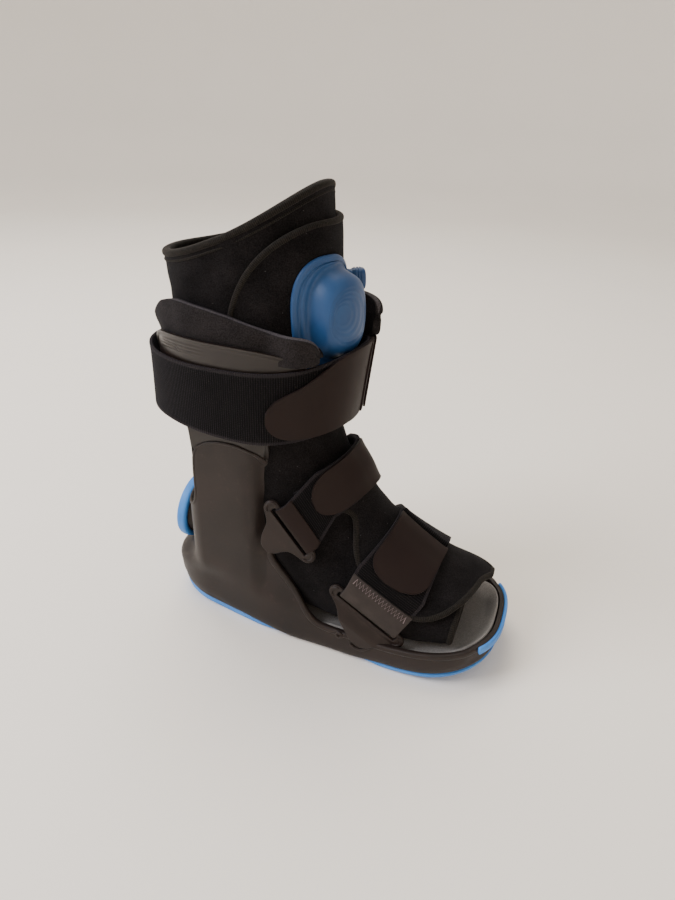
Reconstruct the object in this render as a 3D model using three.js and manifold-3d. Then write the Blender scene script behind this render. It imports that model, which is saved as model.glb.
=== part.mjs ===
// Walking boot for a hurt ankle or foot: rocker sole, hard shell with two uprights,
// soft bootie, foam pads, three straps, four buckles and an air pump.
// Millimetres, +X to the toe, +Y to the far side, +Z up. The origin is on the ground,
// under the middle of the flat part of the sole. The near side is -Y.

import * as THREE from 'three';
import { mergeVertices } from 'three/addons/utils/BufferGeometryUtils.js';
import Module from 'manifold-3d';

const wasm = await Module();
wasm.setup();

// Clearances
const FIT = 0.4;
const SOFT_FIT = 0.5;
const WRAP_FIT = 0.9;

// Sole and shell plan, seen from above
const HEEL_X = -156;
const TOE_X = 163;
const HEEL_ROUND_LENGTH = 50;
const TOE_ROUND_LENGTH = 66;
const HEEL_ROUNDNESS = 2.1;
const TOE_ROUNDNESS_NEAR = 2.4;
const TOE_ROUNDNESS_FAR = 3.1;
const HEEL_WIDTH = 101;
const WAIST_WIDTH = 122;
const FOREFOOT_WIDTH = 131;

// Rocker sole
const FLAT_START_X = -75;
const FLAT_END_X = 60;
const HEEL_ROCKER_RADIUS = 300;
const TOE_ROCKER_RADIUS = 330;
const OUTSOLE_EDGE = 4.5;
const OUTSOLE_CORE = 11;
const BUMPER_THICKNESS = 5;
const BUMPER_START_X = 149;
const BUMPER_TOP_DROP = 1.5;

// Shell
const SHELL_WALL = 4;
const SHELL_FLOOR = 3.5;
const SKIRT_OVERHANG = 2;
const RIM_HEIGHT = 28;
const TOE_RIM_HEIGHT = 38;
const UPRIGHT_REAR_X = -111;
const UPRIGHT_FRONT_X = -43;
const UPRIGHT_WIDTH = 114;
const UPRIGHT_SHOULDER_Z = 168;
const UPRIGHT_ARCH_RISE = 20;
const UPRIGHT_FOOT_Z = 88;
const BRACE_END_X = 6;
const RETURN_DEPTH = 5;
const RETURN_WIDTH = 17;
const HEEL_CUP_Z = 116;
const HEEL_NECK_X = -134;
const HEEL_BULGE_Z = 40;
const HEEL_NECK_Z = 54;

// Rubber ring round the heel window
const RING_CENTRE_Z = 80;
const RING_HEIGHT = 66;
const RING_WIDTH = 64;
const RING_NECK_SHARE = 0.8;
const RING_LIP_X = -149;
const RING_WALL = 4;

// Insole
const FOOTBED_THICKNESS = 6;
const FOOTBED_MARGIN = 3;

// Bootie
const LEG_X = -80;
const LEG_DEPTH = 136;
const LEG_WIDTH = 98;
const RIM_FLARE = 1.16;
const BOOT_HEIGHT = 388;
const FOOT_LENGTH = 260;
const FOOT_WIDTH = 106;
const LINER_WALL = 6;
const HEEL_GAP = 6;

// Outer wraps of the bootie
const FLAP_THICKNESS = 4.2;
const FRONT_FLAP_TOP_Z = 362;
const FRONT_FLAP_BOTTOM_Z = 236;
const FOOT_FLAP_SPREAD = 62;

// Foam pads and calf plates
const PAD_THICKNESS = 6.5;
const PAD_TOP_Z = 289;
const PAD_BOTTOM_Z = 230;
const PAD_REAR_TUCK = 8;
const CUFF_THICKNESS = 2.6;
const CUFF_TOP_Z = 270;
const CUFF_BOTTOM_Z = 210;
const CUFF_REAR_TUCK = 8;
const STEM_BOTTOM_Z = 150;
const STEM_MARGIN = 14;

// Calf strap
const STRAP_THICKNESS = 2.8;
const TAB_THICKNESS = 2.4;
const CALF_FRONT_ROOM = 23.2;
const CALF_REAR_ROOM = 28.8;
const CALF_SIDE_ROOM = 19;
const LOOP_ROUNDNESS_NEAR = 2.35;
const LOOP_ROUNDNESS_FAR = 2;
const LOOP_ROUNDNESS_REAR = 2.1;
const CALF_STRAP_WIDTH = 55;
const CALF_STRAP_Z = 229;
const CALF_STRAP_RISE = 17;
const CALF_STRAP_CONE = 0.12;

// Foot straps and buckles
const INSTEP_STRAP_SPREAD = 70;
const TOE_STRAP_SPREAD = 79;
const TOE_STRAP_GAIN = 22;
const BUCKLE_THICKNESS = 3;
const BUCKLE_SLOT_WIDTH = 4;
const BUCKLE_EAR_RADIUS = 5.5;

// Air pump
const PUMP_TURN = 17;
const VALVE_PUMP_TURN = 44;
const PUMP_Z = 294;
const PUMP_WIDTH = 62;
const PUMP_HEIGHT = 92;
const PUMP_FLANGE = 3;
const PUMP_RISE = 20;
const VALVE_RADIUS = 5;
const VALVE_LENGTH = 18;
const VALVE_TALL = 1.7;
const VALVE_FOOT = 1.5;
const VALVE_LIFT = 18;

const NEAR = -1;
const FAR = 1;
const mix = (a, b, t) => a + (b - a) * t;
const clamp = (t) => Math.min(1, Math.max(0, t));
const smooth = (from, to, x) => {
  const t = clamp((x - from) / (to - from));
  return t * t * (3 - 2 * t);
};
const roundEnd = (t, power) => (t <= 0 ? 1 : (1 - Math.min(1, t) ** power) ** (1 / power));
const radians = (degrees) => (degrees * Math.PI) / 180;

// Reads a table of rows { at, ... } at any place, with smooth slopes between the rows
function readTable(rows, at) {
  let i = 0;
  while (i < rows.length - 2 && at > rows[i + 1].at) i += 1;
  const [a, b] = [rows[i], rows[i + 1]];
  const before = rows[Math.max(0, i - 1)];
  const after = rows[Math.min(rows.length - 1, i + 2)];
  const span = b.at - a.at;
  const t = (at - a.at) / span;
  const row = {};
  for (const key of Object.keys(a)) {
    const slopeA = ((b[key] - before[key]) / (b.at - before.at)) * span;
    const slopeB = ((after[key] - a[key]) / (after.at - a.at)) * span;
    row[key] = (2 * t ** 3 - 3 * t ** 2 + 1) * a[key] + (t ** 3 - 2 * t ** 2 + t) * slopeA
      + (3 * t ** 2 - 2 * t ** 3) * b[key] + (t ** 3 - t ** 2) * slopeB;
  }
  return row;
}

// Solids

function meshVolume(points, faces) {
  let sum = 0;
  for (const [a, b, c] of faces) {
    sum += points[a].dot(new THREE.Vector3().crossVectors(points[b], points[c]));
  }
  return sum / 6;
}

function closedGeometry(points, faces) {
  const turned = meshVolume(points, faces) < 0 ? faces.map(([a, b, c]) => [a, c, b]) : faces;
  const geometry = new THREE.BufferGeometry();
  const numbers = points.flatMap((p) => [p.x, p.y, p.z]);
  geometry.setAttribute('position', new THREE.Float32BufferAttribute(numbers, 3));
  geometry.setIndex(turned.flat());
  return geometry;
}

// A curved sheet with thickness: place(u, v, side) gives its inner (0) and outer (1) face
function sheetSolid(columns, rows, place, loop = false) {
  const points = [];
  const faces = [];
  const ring = loop ? columns : columns + 1;
  const index = (i, j, side) => side * ring * (rows + 1) + (i % ring) * (rows + 1) + j;
  const quad = (a, b, c, d) => faces.push([a, b, c], [a, c, d]);
  for (const side of [0, 1]) {
    for (let i = 0; i < ring; i += 1) {
      for (let j = 0; j <= rows; j += 1) points.push(place(i / columns, j / rows, side));
    }
  }
  for (let i = 0; i < columns; i += 1) {
    for (let j = 0; j < rows; j += 1) {
      quad(index(i, j, 1), index(i + 1, j, 1), index(i + 1, j + 1, 1), index(i, j + 1, 1));
      quad(index(i, j, 0), index(i, j + 1, 0), index(i + 1, j + 1, 0), index(i + 1, j, 0));
    }
    quad(index(i, 0, 0), index(i + 1, 0, 0), index(i + 1, 0, 1), index(i, 0, 1));
    quad(index(i, rows, 1), index(i + 1, rows, 1), index(i + 1, rows, 0), index(i, rows, 0));
  }
  if (!loop) {
    for (let j = 0; j < rows; j += 1) {
      quad(index(0, j, 1), index(0, j + 1, 1), index(0, j + 1, 0), index(0, j, 0));
      quad(index(columns, j, 0), index(columns, j + 1, 0), index(columns, j + 1, 1), index(columns, j, 1));
    }
  }
  return closedGeometry(points, faces);
}

// A solid of stacked closed rings; each end is closed across, from side to side of the ring
function stackSolid(rings) {
  const count = rings[0].length;
  const half = count / 2;
  const faces = [];
  for (let k = 0; k < rings.length - 1; k += 1) {
    for (let i = 0; i < count; i += 1) {
      const next = (i + 1) % count;
      const [a, b] = [k * count + i, k * count + next];
      faces.push([a, b, b + count], [a, b + count, a + count]);
    }
  }
  for (const [base, flip] of [[0, true], [(rings.length - 1) * count, false]]) {
    const cap = (a, b, c) => {
      const corners = flip ? [a, c, b] : [a, b, c];
      faces.push(corners.map((corner) => corner + base));
    };
    cap(0, 1, count - 1);
    for (let i = 1; i < half - 1; i += 1) {
      cap(i, i + 1, count - i - 1);
      cap(i, count - i - 1, count - i);
    }
    cap(half - 1, half, half + 1);
  }
  return closedGeometry(rings.flat(), faces);
}

// A low solid on a surface: closed rings from its foot to its top, closed by a point at each end
function moundSolid(rings, bottom, top) {
  const count = rings[0].length;
  const points = [...rings.flat(), bottom, top];
  const faces = [];
  for (let i = 0; i < count; i += 1) {
    const next = (i + 1) % count;
    for (let k = 0; k < rings.length - 1; k += 1) {
      const [a, b] = [k * count + i, k * count + next];
      faces.push([a, b, b + count], [a, b + count, a + count]);
    }
    const last = (rings.length - 1) * count;
    faces.push([next, i, points.length - 2], [last + i, last + next, points.length - 1]);
  }
  return closedGeometry(points, faces);
}

function toManifold(geometry) {
  const bare = geometry.clone();
  bare.deleteAttribute('normal');
  bare.deleteAttribute('uv');
  const merged = mergeVertices(bare, 1e-4);
  return new wasm.Manifold(new wasm.Mesh({
    numProp: 3,
    vertProperties: Float32Array.from(merged.attributes.position.array),
    triVerts: Uint32Array.from(merged.index.array),
  }));
}

function fromManifold(solid) {
  const mesh = solid.getMesh();
  const geometry = new THREE.BufferGeometry();
  geometry.setAttribute('position', new THREE.BufferAttribute(mesh.vertProperties, 3));
  geometry.setIndex(new THREE.BufferAttribute(mesh.triVerts, 1));
  return geometry;
}

// The sole's plan

const PLAN_ROWS = [
  { at: HEEL_X, half: 0.49 * HEEL_WIDTH },
  { at: HEEL_X + HEEL_ROUND_LENGTH, half: 0.5 * HEEL_WIDTH },
  { at: mix(HEEL_X, TOE_X, 0.38), half: 0.5 * WAIST_WIDTH },
  { at: mix(HEEL_X, TOE_X, 0.56), half: 0.51 * WAIST_WIDTH },
  { at: mix(HEEL_X, TOE_X, 0.78), half: 0.5 * FOREFOOT_WIDTH },
  { at: TOE_X, half: 0.48 * FOREFOOT_WIDTH },
];
const ROUND_STEPS = 7;
const STRAIGHT_STEPS = 6;

// Places along one side, from the middle of the heel to the middle of the toe
function sideOutline(side, heelX) {
  const toePower = side === NEAR ? TOE_ROUNDNESS_NEAR : TOE_ROUNDNESS_FAR;
  const heelEnd = HEEL_X + HEEL_ROUND_LENGTH;
  const toeStart = TOE_X - TOE_ROUND_LENGTH;
  const places = [];
  for (let i = 0; i < ROUND_STEPS; i += 1) {
    const turn = (i / ROUND_STEPS) * (Math.PI / 2);
    const x = heelEnd - (heelEnd - heelX) * Math.cos(turn) ** (2 / HEEL_ROUNDNESS);
    places.push({ x, share: Math.sin(turn) ** (2 / HEEL_ROUNDNESS) });
  }
  places.push({ x: heelEnd, share: 1 }, { x: mix(heelEnd, UPRIGHT_FRONT_X - RETURN_WIDTH, 0.5), share: 1 });
  places.push({ x: UPRIGHT_FRONT_X - RETURN_WIDTH, share: 1 });
  for (let i = 0; i < STRAIGHT_STEPS; i += 1) {
    places.push({ x: mix(UPRIGHT_FRONT_X, toeStart, i / STRAIGHT_STEPS), share: 1 });
  }
  for (let i = 0; i <= ROUND_STEPS; i += 1) {
    const turn = (i / ROUND_STEPS) * (Math.PI / 2);
    const x = toeStart + TOE_ROUND_LENGTH * Math.sin(turn) ** (2 / toePower);
    places.push({ x, share: i === ROUND_STEPS ? 0 : Math.cos(turn) ** (2 / toePower) });
  }
  return places;
}

// The upright's front edge turns in towards the leg
const uprightHalf = (x) => UPRIGHT_WIDTH / 2
  - RETURN_DEPTH * clamp((x - UPRIGHT_FRONT_X + RETURN_WIDTH) / RETURN_WIDTH);

// A closed ring round the plan: level gives how far up it is (0 sole, 1 upright) and where the heel ends
function planRing(level, inset, heightAt) {
  const outline = [];
  const upright = (x) => level.upright * (1 - smooth(BRACE_END_X, FLAT_END_X, x));
  const half = (place) => place.share
    * mix(readTable(PLAN_ROWS, place.x).half, uprightHalf(place.x), upright(place.x));
  const near = sideOutline(NEAR, level.heelX);
  const far = sideOutline(FAR, level.heelX);
  near.forEach((place) => outline.push(new THREE.Vector2(place.x, NEAR * half(place))));
  for (const place of far.slice(1, -1).reverse()) {
    outline.push(new THREE.Vector2(place.x, FAR * half(place)));
  }
  return outline.map((point, i) => {
    const before = outline[(i + outline.length - 1) % outline.length];
    const after = outline[(i + 1) % outline.length];
    const along = after.clone().sub(before).normalize();
    const moved = point.clone().addScaledVector(new THREE.Vector2(-along.y, along.x), inset(point.x));
    return new THREE.Vector3(moved.x, moved.y, heightAt(moved.x));
  });
}

// The ground side of the rocker sole
function rockerHeight(x) {
  if (x < FLAT_START_X) {
    return HEEL_ROCKER_RADIUS - Math.sqrt(HEEL_ROCKER_RADIUS ** 2 - (FLAT_START_X - x) ** 2);
  }
  if (x > FLAT_END_X) return TOE_ROCKER_RADIUS - Math.sqrt(TOE_ROCKER_RADIUS ** 2 - (x - FLAT_END_X) ** 2);
  return 0;
}

const SOLE_LEVEL = { upright: 0, heelX: HEEL_X };
const soleRing = (inset, rise) => planRing(SOLE_LEVEL, () => inset, (x) => rockerHeight(x) + rise);
const coreRing = (clearance, rise) => planRing(
  SOLE_LEVEL,
  (x) => SHELL_WALL + SKIRT_OVERHANG + bumperRoom(x) - clearance,
  (x) => rockerHeight(x) + rise,
);
const bumperRoom = (x) => (BUMPER_THICKNESS + FIT) * smooth(BUMPER_START_X - 14, BUMPER_START_X, x);
const rimHeight = (x) => mix(RIM_HEIGHT, TOE_RIM_HEIGHT, smooth(FLAT_END_X, TOE_X, x));

function boxManifold(low, high) {
  const size = new THREE.Vector3().subVectors(high, low);
  const box = new THREE.BoxGeometry(size.x, size.y, size.z);
  box.translate((low.x + high.x) / 2, (low.y + high.y) / 2, (low.z + high.z) / 2);
  return toManifold(box);
}

// Cutting solids reach this far past what they cut
const FAR_OUT = 400;
const CUT_ROOM = 10;
function toeBox(startX) {
  const low = new THREE.Vector3(startX, -FAR_OUT, -FAR_OUT);
  return boxManifold(low, new THREE.Vector3(FAR_OUT, FAR_OUT, FAR_OUT));
}

// Extrudes a side view (x, z) across the whole width
function sideProfileManifold(points) {
  const shape = new THREE.Shape(points.map(([x, z]) => new THREE.Vector2(x, z)));
  const solid = new THREE.ExtrudeGeometry(shape, { depth: 2 * FAR_OUT, bevelEnabled: false });
  solid.translate(0, 0, -FAR_OUT);
  solid.rotateX(Math.PI / 2);
  return toManifold(solid);
}

// The tread's rounded lower edge: how far in from the plan, and how far over the rocker
const TREAD_ROWS = [
  { inset: 9, rise: 0 },
  { inset: 4, rise: 1.2 },
  { inset: 2.2, rise: 3 },
  { inset: 2.2, rise: OUTSOLE_EDGE },
];
const BUMPER_BOTTOM_RISE = 2;
const BUMPER_CHAMFER = 6;
function outsole() {
  const plate = toManifold(stackSolid([
    ...TREAD_ROWS.map((row) => soleRing(row.inset, row.rise)),
    coreRing(0, OUTSOLE_EDGE + 0.2), coreRing(0, OUTSOLE_CORE),
  ]));
  const top = (x) => rimHeight(x) - BUMPER_TOP_DROP;
  const bumperRing = (inset, heightAt) => planRing(SOLE_LEVEL, () => inset, heightAt);
  const low = (x) => rockerHeight(x) + BUMPER_BOTTOM_RISE;
  const block = toManifold(stackSolid([bumperRing(2.2, low), bumperRing(0, (x) => low(x) + BUMPER_CHAMFER),
    bumperRing(-0.8, (x) => top(x) - 4), bumperRing(0.6, top)]));
  const inside = toManifold(stackSolid([bumperRing(BUMPER_THICKNESS, (x) => low(x) - CUT_ROOM),
    bumperRing(BUMPER_THICKNESS, (x) => top(x) + CUT_ROOM)]));
  const bumper = block.subtract(inside).intersect(toeBox(BUMPER_START_X));
  return fromManifold(plate.add(bumper));
}

// The shell's side view: heel cup, uprights with an arched top, brace and rim
function shellProfile() {
  const points = [[-FAR_OUT, -FAR_OUT], [FAR_OUT, -FAR_OUT]];
  const rimSteps = 12;
  points.push([FAR_OUT, rimHeight(FAR_OUT)]);
  for (let i = rimSteps; i >= 0; i -= 1) {
    const x = mix(BRACE_END_X + 10, TOE_X, i / rimSteps);
    points.push([x, rimHeight(x)]);
  }
  points.push([BRACE_END_X, RIM_HEIGHT + 5]);
  points.push([UPRIGHT_FRONT_X + 5, UPRIGHT_FOOT_Z - 7], [UPRIGHT_FRONT_X, UPRIGHT_FOOT_Z]);
  const archSteps = 10;
  for (let i = 0; i <= archSteps; i += 1) {
    const turn = radians(180 * (i / archSteps));
    const x = mix(UPRIGHT_FRONT_X, UPRIGHT_REAR_X, (1 - Math.cos(turn)) / 2);
    points.push([x, UPRIGHT_SHOULDER_Z + UPRIGHT_ARCH_RISE * Math.sin(turn) ** 0.8]);
  }
  points.push([UPRIGHT_REAR_X, HEEL_CUP_Z + 12], [UPRIGHT_REAR_X - 4, HEEL_CUP_Z + 3]);
  points.push([UPRIGHT_REAR_X - 12, HEEL_CUP_Z], [-FAR_OUT, HEEL_CUP_Z]);
  return points;
}

// The shell's levels, bottom to top: a fixed height z, or a rise over the rocker; upright is the
// share of the way from the sole's plan to the uprights' plan. No fixed level comes nearer to
// the rocker than SHELL_LEVEL_ROOM.
const SHELL_LEVEL_ROOM = 10;
const SHELL_LEVELS = [
  { rise: OUTSOLE_EDGE + FIT, inset: 3.5, upright: 0, heelX: HEEL_X },
  { rise: 9, inset: 0.8, upright: 0, heelX: HEEL_X },
  { z: 22, inset: 0, upright: 0, heelX: HEEL_X },
  { z: HEEL_BULGE_Z, inset: 0, upright: 0.1, heelX: HEEL_X + 1 },
  { z: mix(HEEL_BULGE_Z, HEEL_NECK_Z, 0.5), inset: 0, upright: 0.42, heelX: mix(HEEL_X, HEEL_NECK_X, 0.45) },
  { z: HEEL_NECK_Z, inset: 0, upright: 0.7, heelX: HEEL_NECK_X },
  { z: HEEL_CUP_Z, inset: 0, upright: 1, heelX: HEEL_NECK_X },
  { z: UPRIGHT_SHOULDER_Z + 2 * UPRIGHT_ARCH_RISE, inset: 0, upright: 1, heelX: HEEL_NECK_X },
];
function levelHeight(level) {
  if ('z' in level) return (x) => Math.max(level.z, rockerHeight(x) + SHELL_LEVEL_ROOM);
  return (x) => rockerHeight(x) + level.rise;
}
const floorTop = OUTSOLE_CORE + FIT + SHELL_FLOOR;
const FLOOR_LEVEL = { rise: floorTop, inset: 2, upright: 0, heelX: HEEL_X };

function oval(rx, rz, x, steps, centreZ) {
  return Array.from({ length: steps }, (_, i) => {
    const turn = (2 * Math.PI * i) / steps;
    return new THREE.Vector3(x, rx * Math.cos(turn), centreZ + rz * Math.sin(turn));
  });
}

const RING_STEPS = 20;
const neckHalfWidth = (RING_WIDTH / 2) * RING_NECK_SHARE;
const neckHalfHeight = (RING_HEIGHT / 2) * RING_NECK_SHARE;

function shell() {
  const rings = SHELL_LEVELS.map((level) => planRing(level, () => level.inset, levelHeight(level)));
  const outer = toManifold(stackSolid(rings));
  const wall = (x) => SHELL_WALL + bumperRoom(x);
  const inner = toManifold(stackSolid([FLOOR_LEVEL, ...SHELL_LEVELS.slice(2)].map(
    (level) => planRing(level, (x) => level.inset + wall(x), levelHeight(level)),
  )));
  const underside = toManifold(stackSolid([coreRing(FIT, -1), coreRing(FIT, OUTSOLE_CORE + FIT)]));
  const slotTop = TOE_RIM_HEIGHT + CUT_ROOM;
  const slotInside = BUMPER_THICKNESS + FIT;
  const slotOutside = stackSolid([soleRing(-CUT_ROOM, -CUT_ROOM), soleRing(-CUT_ROOM, slotTop)]);
  const slotCore = stackSolid([soleRing(slotInside, -2 * CUT_ROOM), soleRing(slotInside, 2 * slotTop)]);
  const bumperSlot = toManifold(slotOutside)
    .subtract(toManifold(slotCore))
    .intersect(toeBox(BUMPER_START_X - FIT));
  const window = toManifold(stackSolid([
    oval(neckHalfWidth + FIT, neckHalfHeight + FIT, HEEL_X - CUT_ROOM, RING_STEPS, RING_CENTRE_Z),
    oval(neckHalfWidth + FIT, neckHalfHeight + FIT, LEG_X, RING_STEPS, RING_CENTRE_Z),
  ]));
  return fromManifold(outer.subtract(inner).subtract(underside).subtract(bumperSlot).subtract(window)
    .intersect(sideProfileManifold(shellProfile())));
}

// The ring's section: inner flange, neck through the shell, flared lip
function heelRing() {
  const seat = HEEL_NECK_X + SHELL_WALL;
  const flare = (share) => ({ y: (RING_WIDTH / 2) * share, z: (RING_HEIGHT / 2) * share });
  const neck = flare(RING_NECK_SHARE);
  const rows = [
    { x: seat + 1, y: neck.y, z: neck.z },
    { x: HEEL_NECK_X - 3, y: neck.y, z: neck.z },
    { x: mix(HEEL_NECK_X, RING_LIP_X, 0.5), y: flare(0.9).y, z: flare(0.9).z },
    { x: RING_LIP_X + 2, y: flare(1).y, z: flare(1).z },
    { x: RING_LIP_X, y: flare(0.96).y, z: flare(0.96).z },
    { x: RING_LIP_X + 1, y: flare(1).y - RING_WALL, z: flare(1).z - RING_WALL },
    { x: HEEL_NECK_X - 3, y: neck.y - RING_WALL, z: neck.z - RING_WALL },
    { x: seat + 1, y: neck.y - RING_WALL, z: neck.z - RING_WALL },
  ];
  const points = rows.flatMap((row) => oval(row.y, row.z, row.x, RING_STEPS, RING_CENTRE_Z));
  const faces = [];
  rows.forEach((_, k) => {
    const nextRow = (k + 1) % rows.length;
    for (let i = 0; i < RING_STEPS; i += 1) {
      const next = (i + 1) % RING_STEPS;
      const [a, b] = [k * RING_STEPS + i, k * RING_STEPS + next];
      const [c, d] = [nextRow * RING_STEPS + next, nextRow * RING_STEPS + i];
      faces.push([a, b, c], [a, c, d]);
    }
  });
  return closedGeometry(points, faces);
}

const bedBottom = floorTop + FIT;
const bedTop = bedBottom + FOOTBED_THICKNESS;

function footbed() {
  const inset = (x) => SHELL_WALL + FOOTBED_MARGIN + bumperRoom(x);
  const ring = (extra, rise) => planRing(
    SOLE_LEVEL,
    (x) => inset(x) + extra,
    (x) => rockerHeight(x) + rise,
  );
  return stackSolid([ring(0.5, bedBottom), ring(0, bedBottom + 2), ring(0, bedTop - 1.5), ring(2, bedTop)]);
}

// The bootie's sections run from the top rim, round the heel, to the toe. Each one goes through
// a place on the front (or top of the foot) and one on the back (or sole).
// front, back: shares of half the leg's depth from the leg's axis, or of the foot's length from the toe
// high, low: shares of the boot's height; half: share of half the width; mid: where it is widest
const toeMouthX = TOE_X - 35;
const legFront = (share) => LEG_X + share * (LEG_DEPTH / 2);
const alongFoot = (share) => toeMouthX - share * FOOT_LENGTH;
const legHalf = (share) => share * (LEG_WIDTH / 2);
const footHalf = (share) => share * (FOOT_WIDTH / 2);
const up = (share) => share * BOOT_HEIGHT;
const solePlane = bedTop + SOFT_FIT;
const onSole = (x, lift = 0) => rockerHeight(x) + solePlane + lift;

const sole = (share, lift = 0) => ({ backX: alongFoot(share), backZ: onSole(alongFoot(share), lift) });
const STATIONS = [
  { at: 0, topX: legFront(0.97), topZ: up(1), backX: legFront(-1.03), backZ: up(0.855),
    half: legHalf(RIM_FLARE), round: 2.1, flat: 2.1, mid: 0.5 },
  { at: 1, topX: legFront(1.02), topZ: up(0.91), backX: legFront(-0.99), backZ: up(0.775),
    half: legHalf(1.08), round: 2.1, flat: 2.1, mid: 0.5 },
  { at: 2, topX: legFront(1.06), topZ: up(0.78), backX: legFront(-0.94), backZ: up(0.68),
    half: legHalf(1), round: 2.2, flat: 2.2, mid: 0.5 },
  { at: 3, topX: legFront(1.1), topZ: up(0.645), backX: legFront(-0.9), backZ: up(0.575),
    half: legHalf(0.98), round: 2.2, flat: 2.2, mid: 0.5 },
  { at: 4, topX: legFront(1.13), topZ: up(0.55), backX: legFront(-0.85), backZ: up(0.455),
    half: legHalf(0.99), round: 2.2, flat: 2.2, mid: 0.5 },
  { at: 5, topX: legFront(1.19), topZ: up(0.49), backX: legFront(-0.73), backZ: up(0.34),
    half: legHalf(0.98), round: 2.2, flat: 2.3, mid: 0.5 },
  { at: 6, topX: legFront(1.31), topZ: up(0.443), backX: HEEL_NECK_X + SHELL_WALL + HEEL_GAP, backZ: up(0.23),
    half: legHalf(0.97), round: 2.2, flat: 2.4, mid: 0.5 },
  { at: 7, topX: legFront(1.46), topZ: up(0.405), backX: alongFoot(0.965), backZ: up(0.135),
    half: legHalf(0.95), round: 2.2, flat: 2.5, mid: 0.5 },
  { at: 8, topX: legFront(1.58), topZ: up(0.365), ...sole(0.9, 8),
    half: footHalf(0.88), round: 2.2, flat: 2.7, mid: 0.48 },
  { at: 9, topX: legFront(1.76), topZ: up(0.326), ...sole(0.79),
    half: footHalf(0.89), round: 2.2, flat: 3, mid: 0.46 },
  { at: 10, topX: legFront(2.04), topZ: up(0.277), ...sole(0.61),
    half: footHalf(0.95), round: 2.2, flat: 3.2, mid: 0.44 },
  { at: 11, topX: alongFoot(0.165), topZ: up(0.232), ...sole(0.38),
    half: footHalf(1.01), round: 2.2, flat: 3.2, mid: 0.42 },
  { at: 12, topX: alongFoot(0.077), topZ: up(0.198), ...sole(0.165),
    half: footHalf(1.01), round: 2.3, flat: 3.2, mid: 0.42 },
  { at: 13, topX: alongFoot(0), topZ: up(0.176), ...sole(0.01, 1),
    half: footHalf(0.96), round: 2.4, flat: 3, mid: 0.42 },
  { at: 14, topX: alongFoot(-0.077), topZ: up(0.156), ...sole(-0.06, 3),
    half: footHalf(0.86), round: 2.4, flat: 3, mid: 0.42 },
];
const LAST_STATION = 13;

// A point of the bootie's skin: turn 0 is the front or top, positive turns go to the near side
function skinPoint(at, turn) {
  const row = readTable(STATIONS, at);
  const top = new THREE.Vector3(row.topX, 0, row.topZ);
  const back = new THREE.Vector3(row.backX, 0, row.backZ);
  const centre = back.clone().lerp(top, row.mid);
  const cos = Math.cos(radians(turn));
  const sin = Math.sin(radians(turn));
  const power = 2 / (cos > 0 ? row.round : row.flat);
  const reach = cos > 0 ? top.sub(centre) : back.sub(centre);
  const point = centre.addScaledVector(reach, Math.abs(cos) ** power);
  point.y = -Math.sign(sin) * row.half * Math.abs(sin) ** power;
  return point;
}

const SKIN_STEP = 0.02;
const TURN_STEP = 1;
function skinOffset(at, turn, offset) {
  const along = skinPoint(at + SKIN_STEP, turn).sub(skinPoint(at - SKIN_STEP, turn));
  const around = skinPoint(at, turn + TURN_STEP).sub(skinPoint(at, turn - TURN_STEP));
  const normal = new THREE.Vector3().crossVectors(around, along).normalize();
  return skinPoint(at, turn).addScaledVector(normal, offset);
}

// The station whose skin is at a height, on the leg
function stationAtHeight(turn, z) {
  let [low, high] = [-0.4, 7];
  for (let i = 0; i < 24; i += 1) {
    const middle = (low + high) / 2;
    if (skinPoint(middle, turn).z > z) low = middle;
    else high = middle;
  }
  return (low + high) / 2;
}
const legPoint = (turn, z, offset) => skinOffset(stationAtHeight(turn, z), turn, offset);

// The rim is low and level at the back and climbs to the front
const RIM_BACK_Z = up(0.853);
const RIM_CLIMB = 1.7;
const rimZ = (turn) => mix(RIM_BACK_Z, BOOT_HEIGHT, ((1 + Math.cos(radians(turn))) / 2) ** RIM_CLIMB);

const LINER_STEPS_ROUND = 26;
const LINER_STEPS_ALONG = 16;
function liner() {
  const tops = new Map();
  const topAt = (turn) => {
    if (!tops.has(turn)) tops.set(turn, stationAtHeight(turn, rimZ(turn)));
    return tops.get(turn);
  };
  return sheetSolid(LINER_STEPS_ROUND, LINER_STEPS_ALONG, (u, v, side) => skinOffset(
    mix(topAt(360 * u), LAST_STATION, v),
    360 * u,
    side ? 0 : -LINER_WALL,
  ), true);
}

const flapInner = WRAP_FIT;
const flapOuter = flapInner + FLAP_THICKNESS;

// The wrap that closes the bootie over the shin, with a curved rear edge on the near side
const FRONT_FLAP_NEAR_TURN = 90;
const FRONT_FLAP_FAR_TURN = -52;
const FRONT_FLAP_ROUND_FROM = 12;
function frontFlap() {
  return sheetSolid(18, 6, (u, v, side) => {
    const turn = mix(FRONT_FLAP_NEAR_TURN, FRONT_FLAP_FAR_TURN, u);
    const share = (turn - FRONT_FLAP_ROUND_FROM) / (FRONT_FLAP_NEAR_TURN - FRONT_FLAP_ROUND_FROM);
    const top = mix(FRONT_FLAP_BOTTOM_Z + 20, FRONT_FLAP_TOP_Z, roundEnd(share, 2.2));
    return legPoint(turn, mix(FRONT_FLAP_BOTTOM_Z, top, v), side ? flapOuter : flapInner);
  });
}

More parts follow.
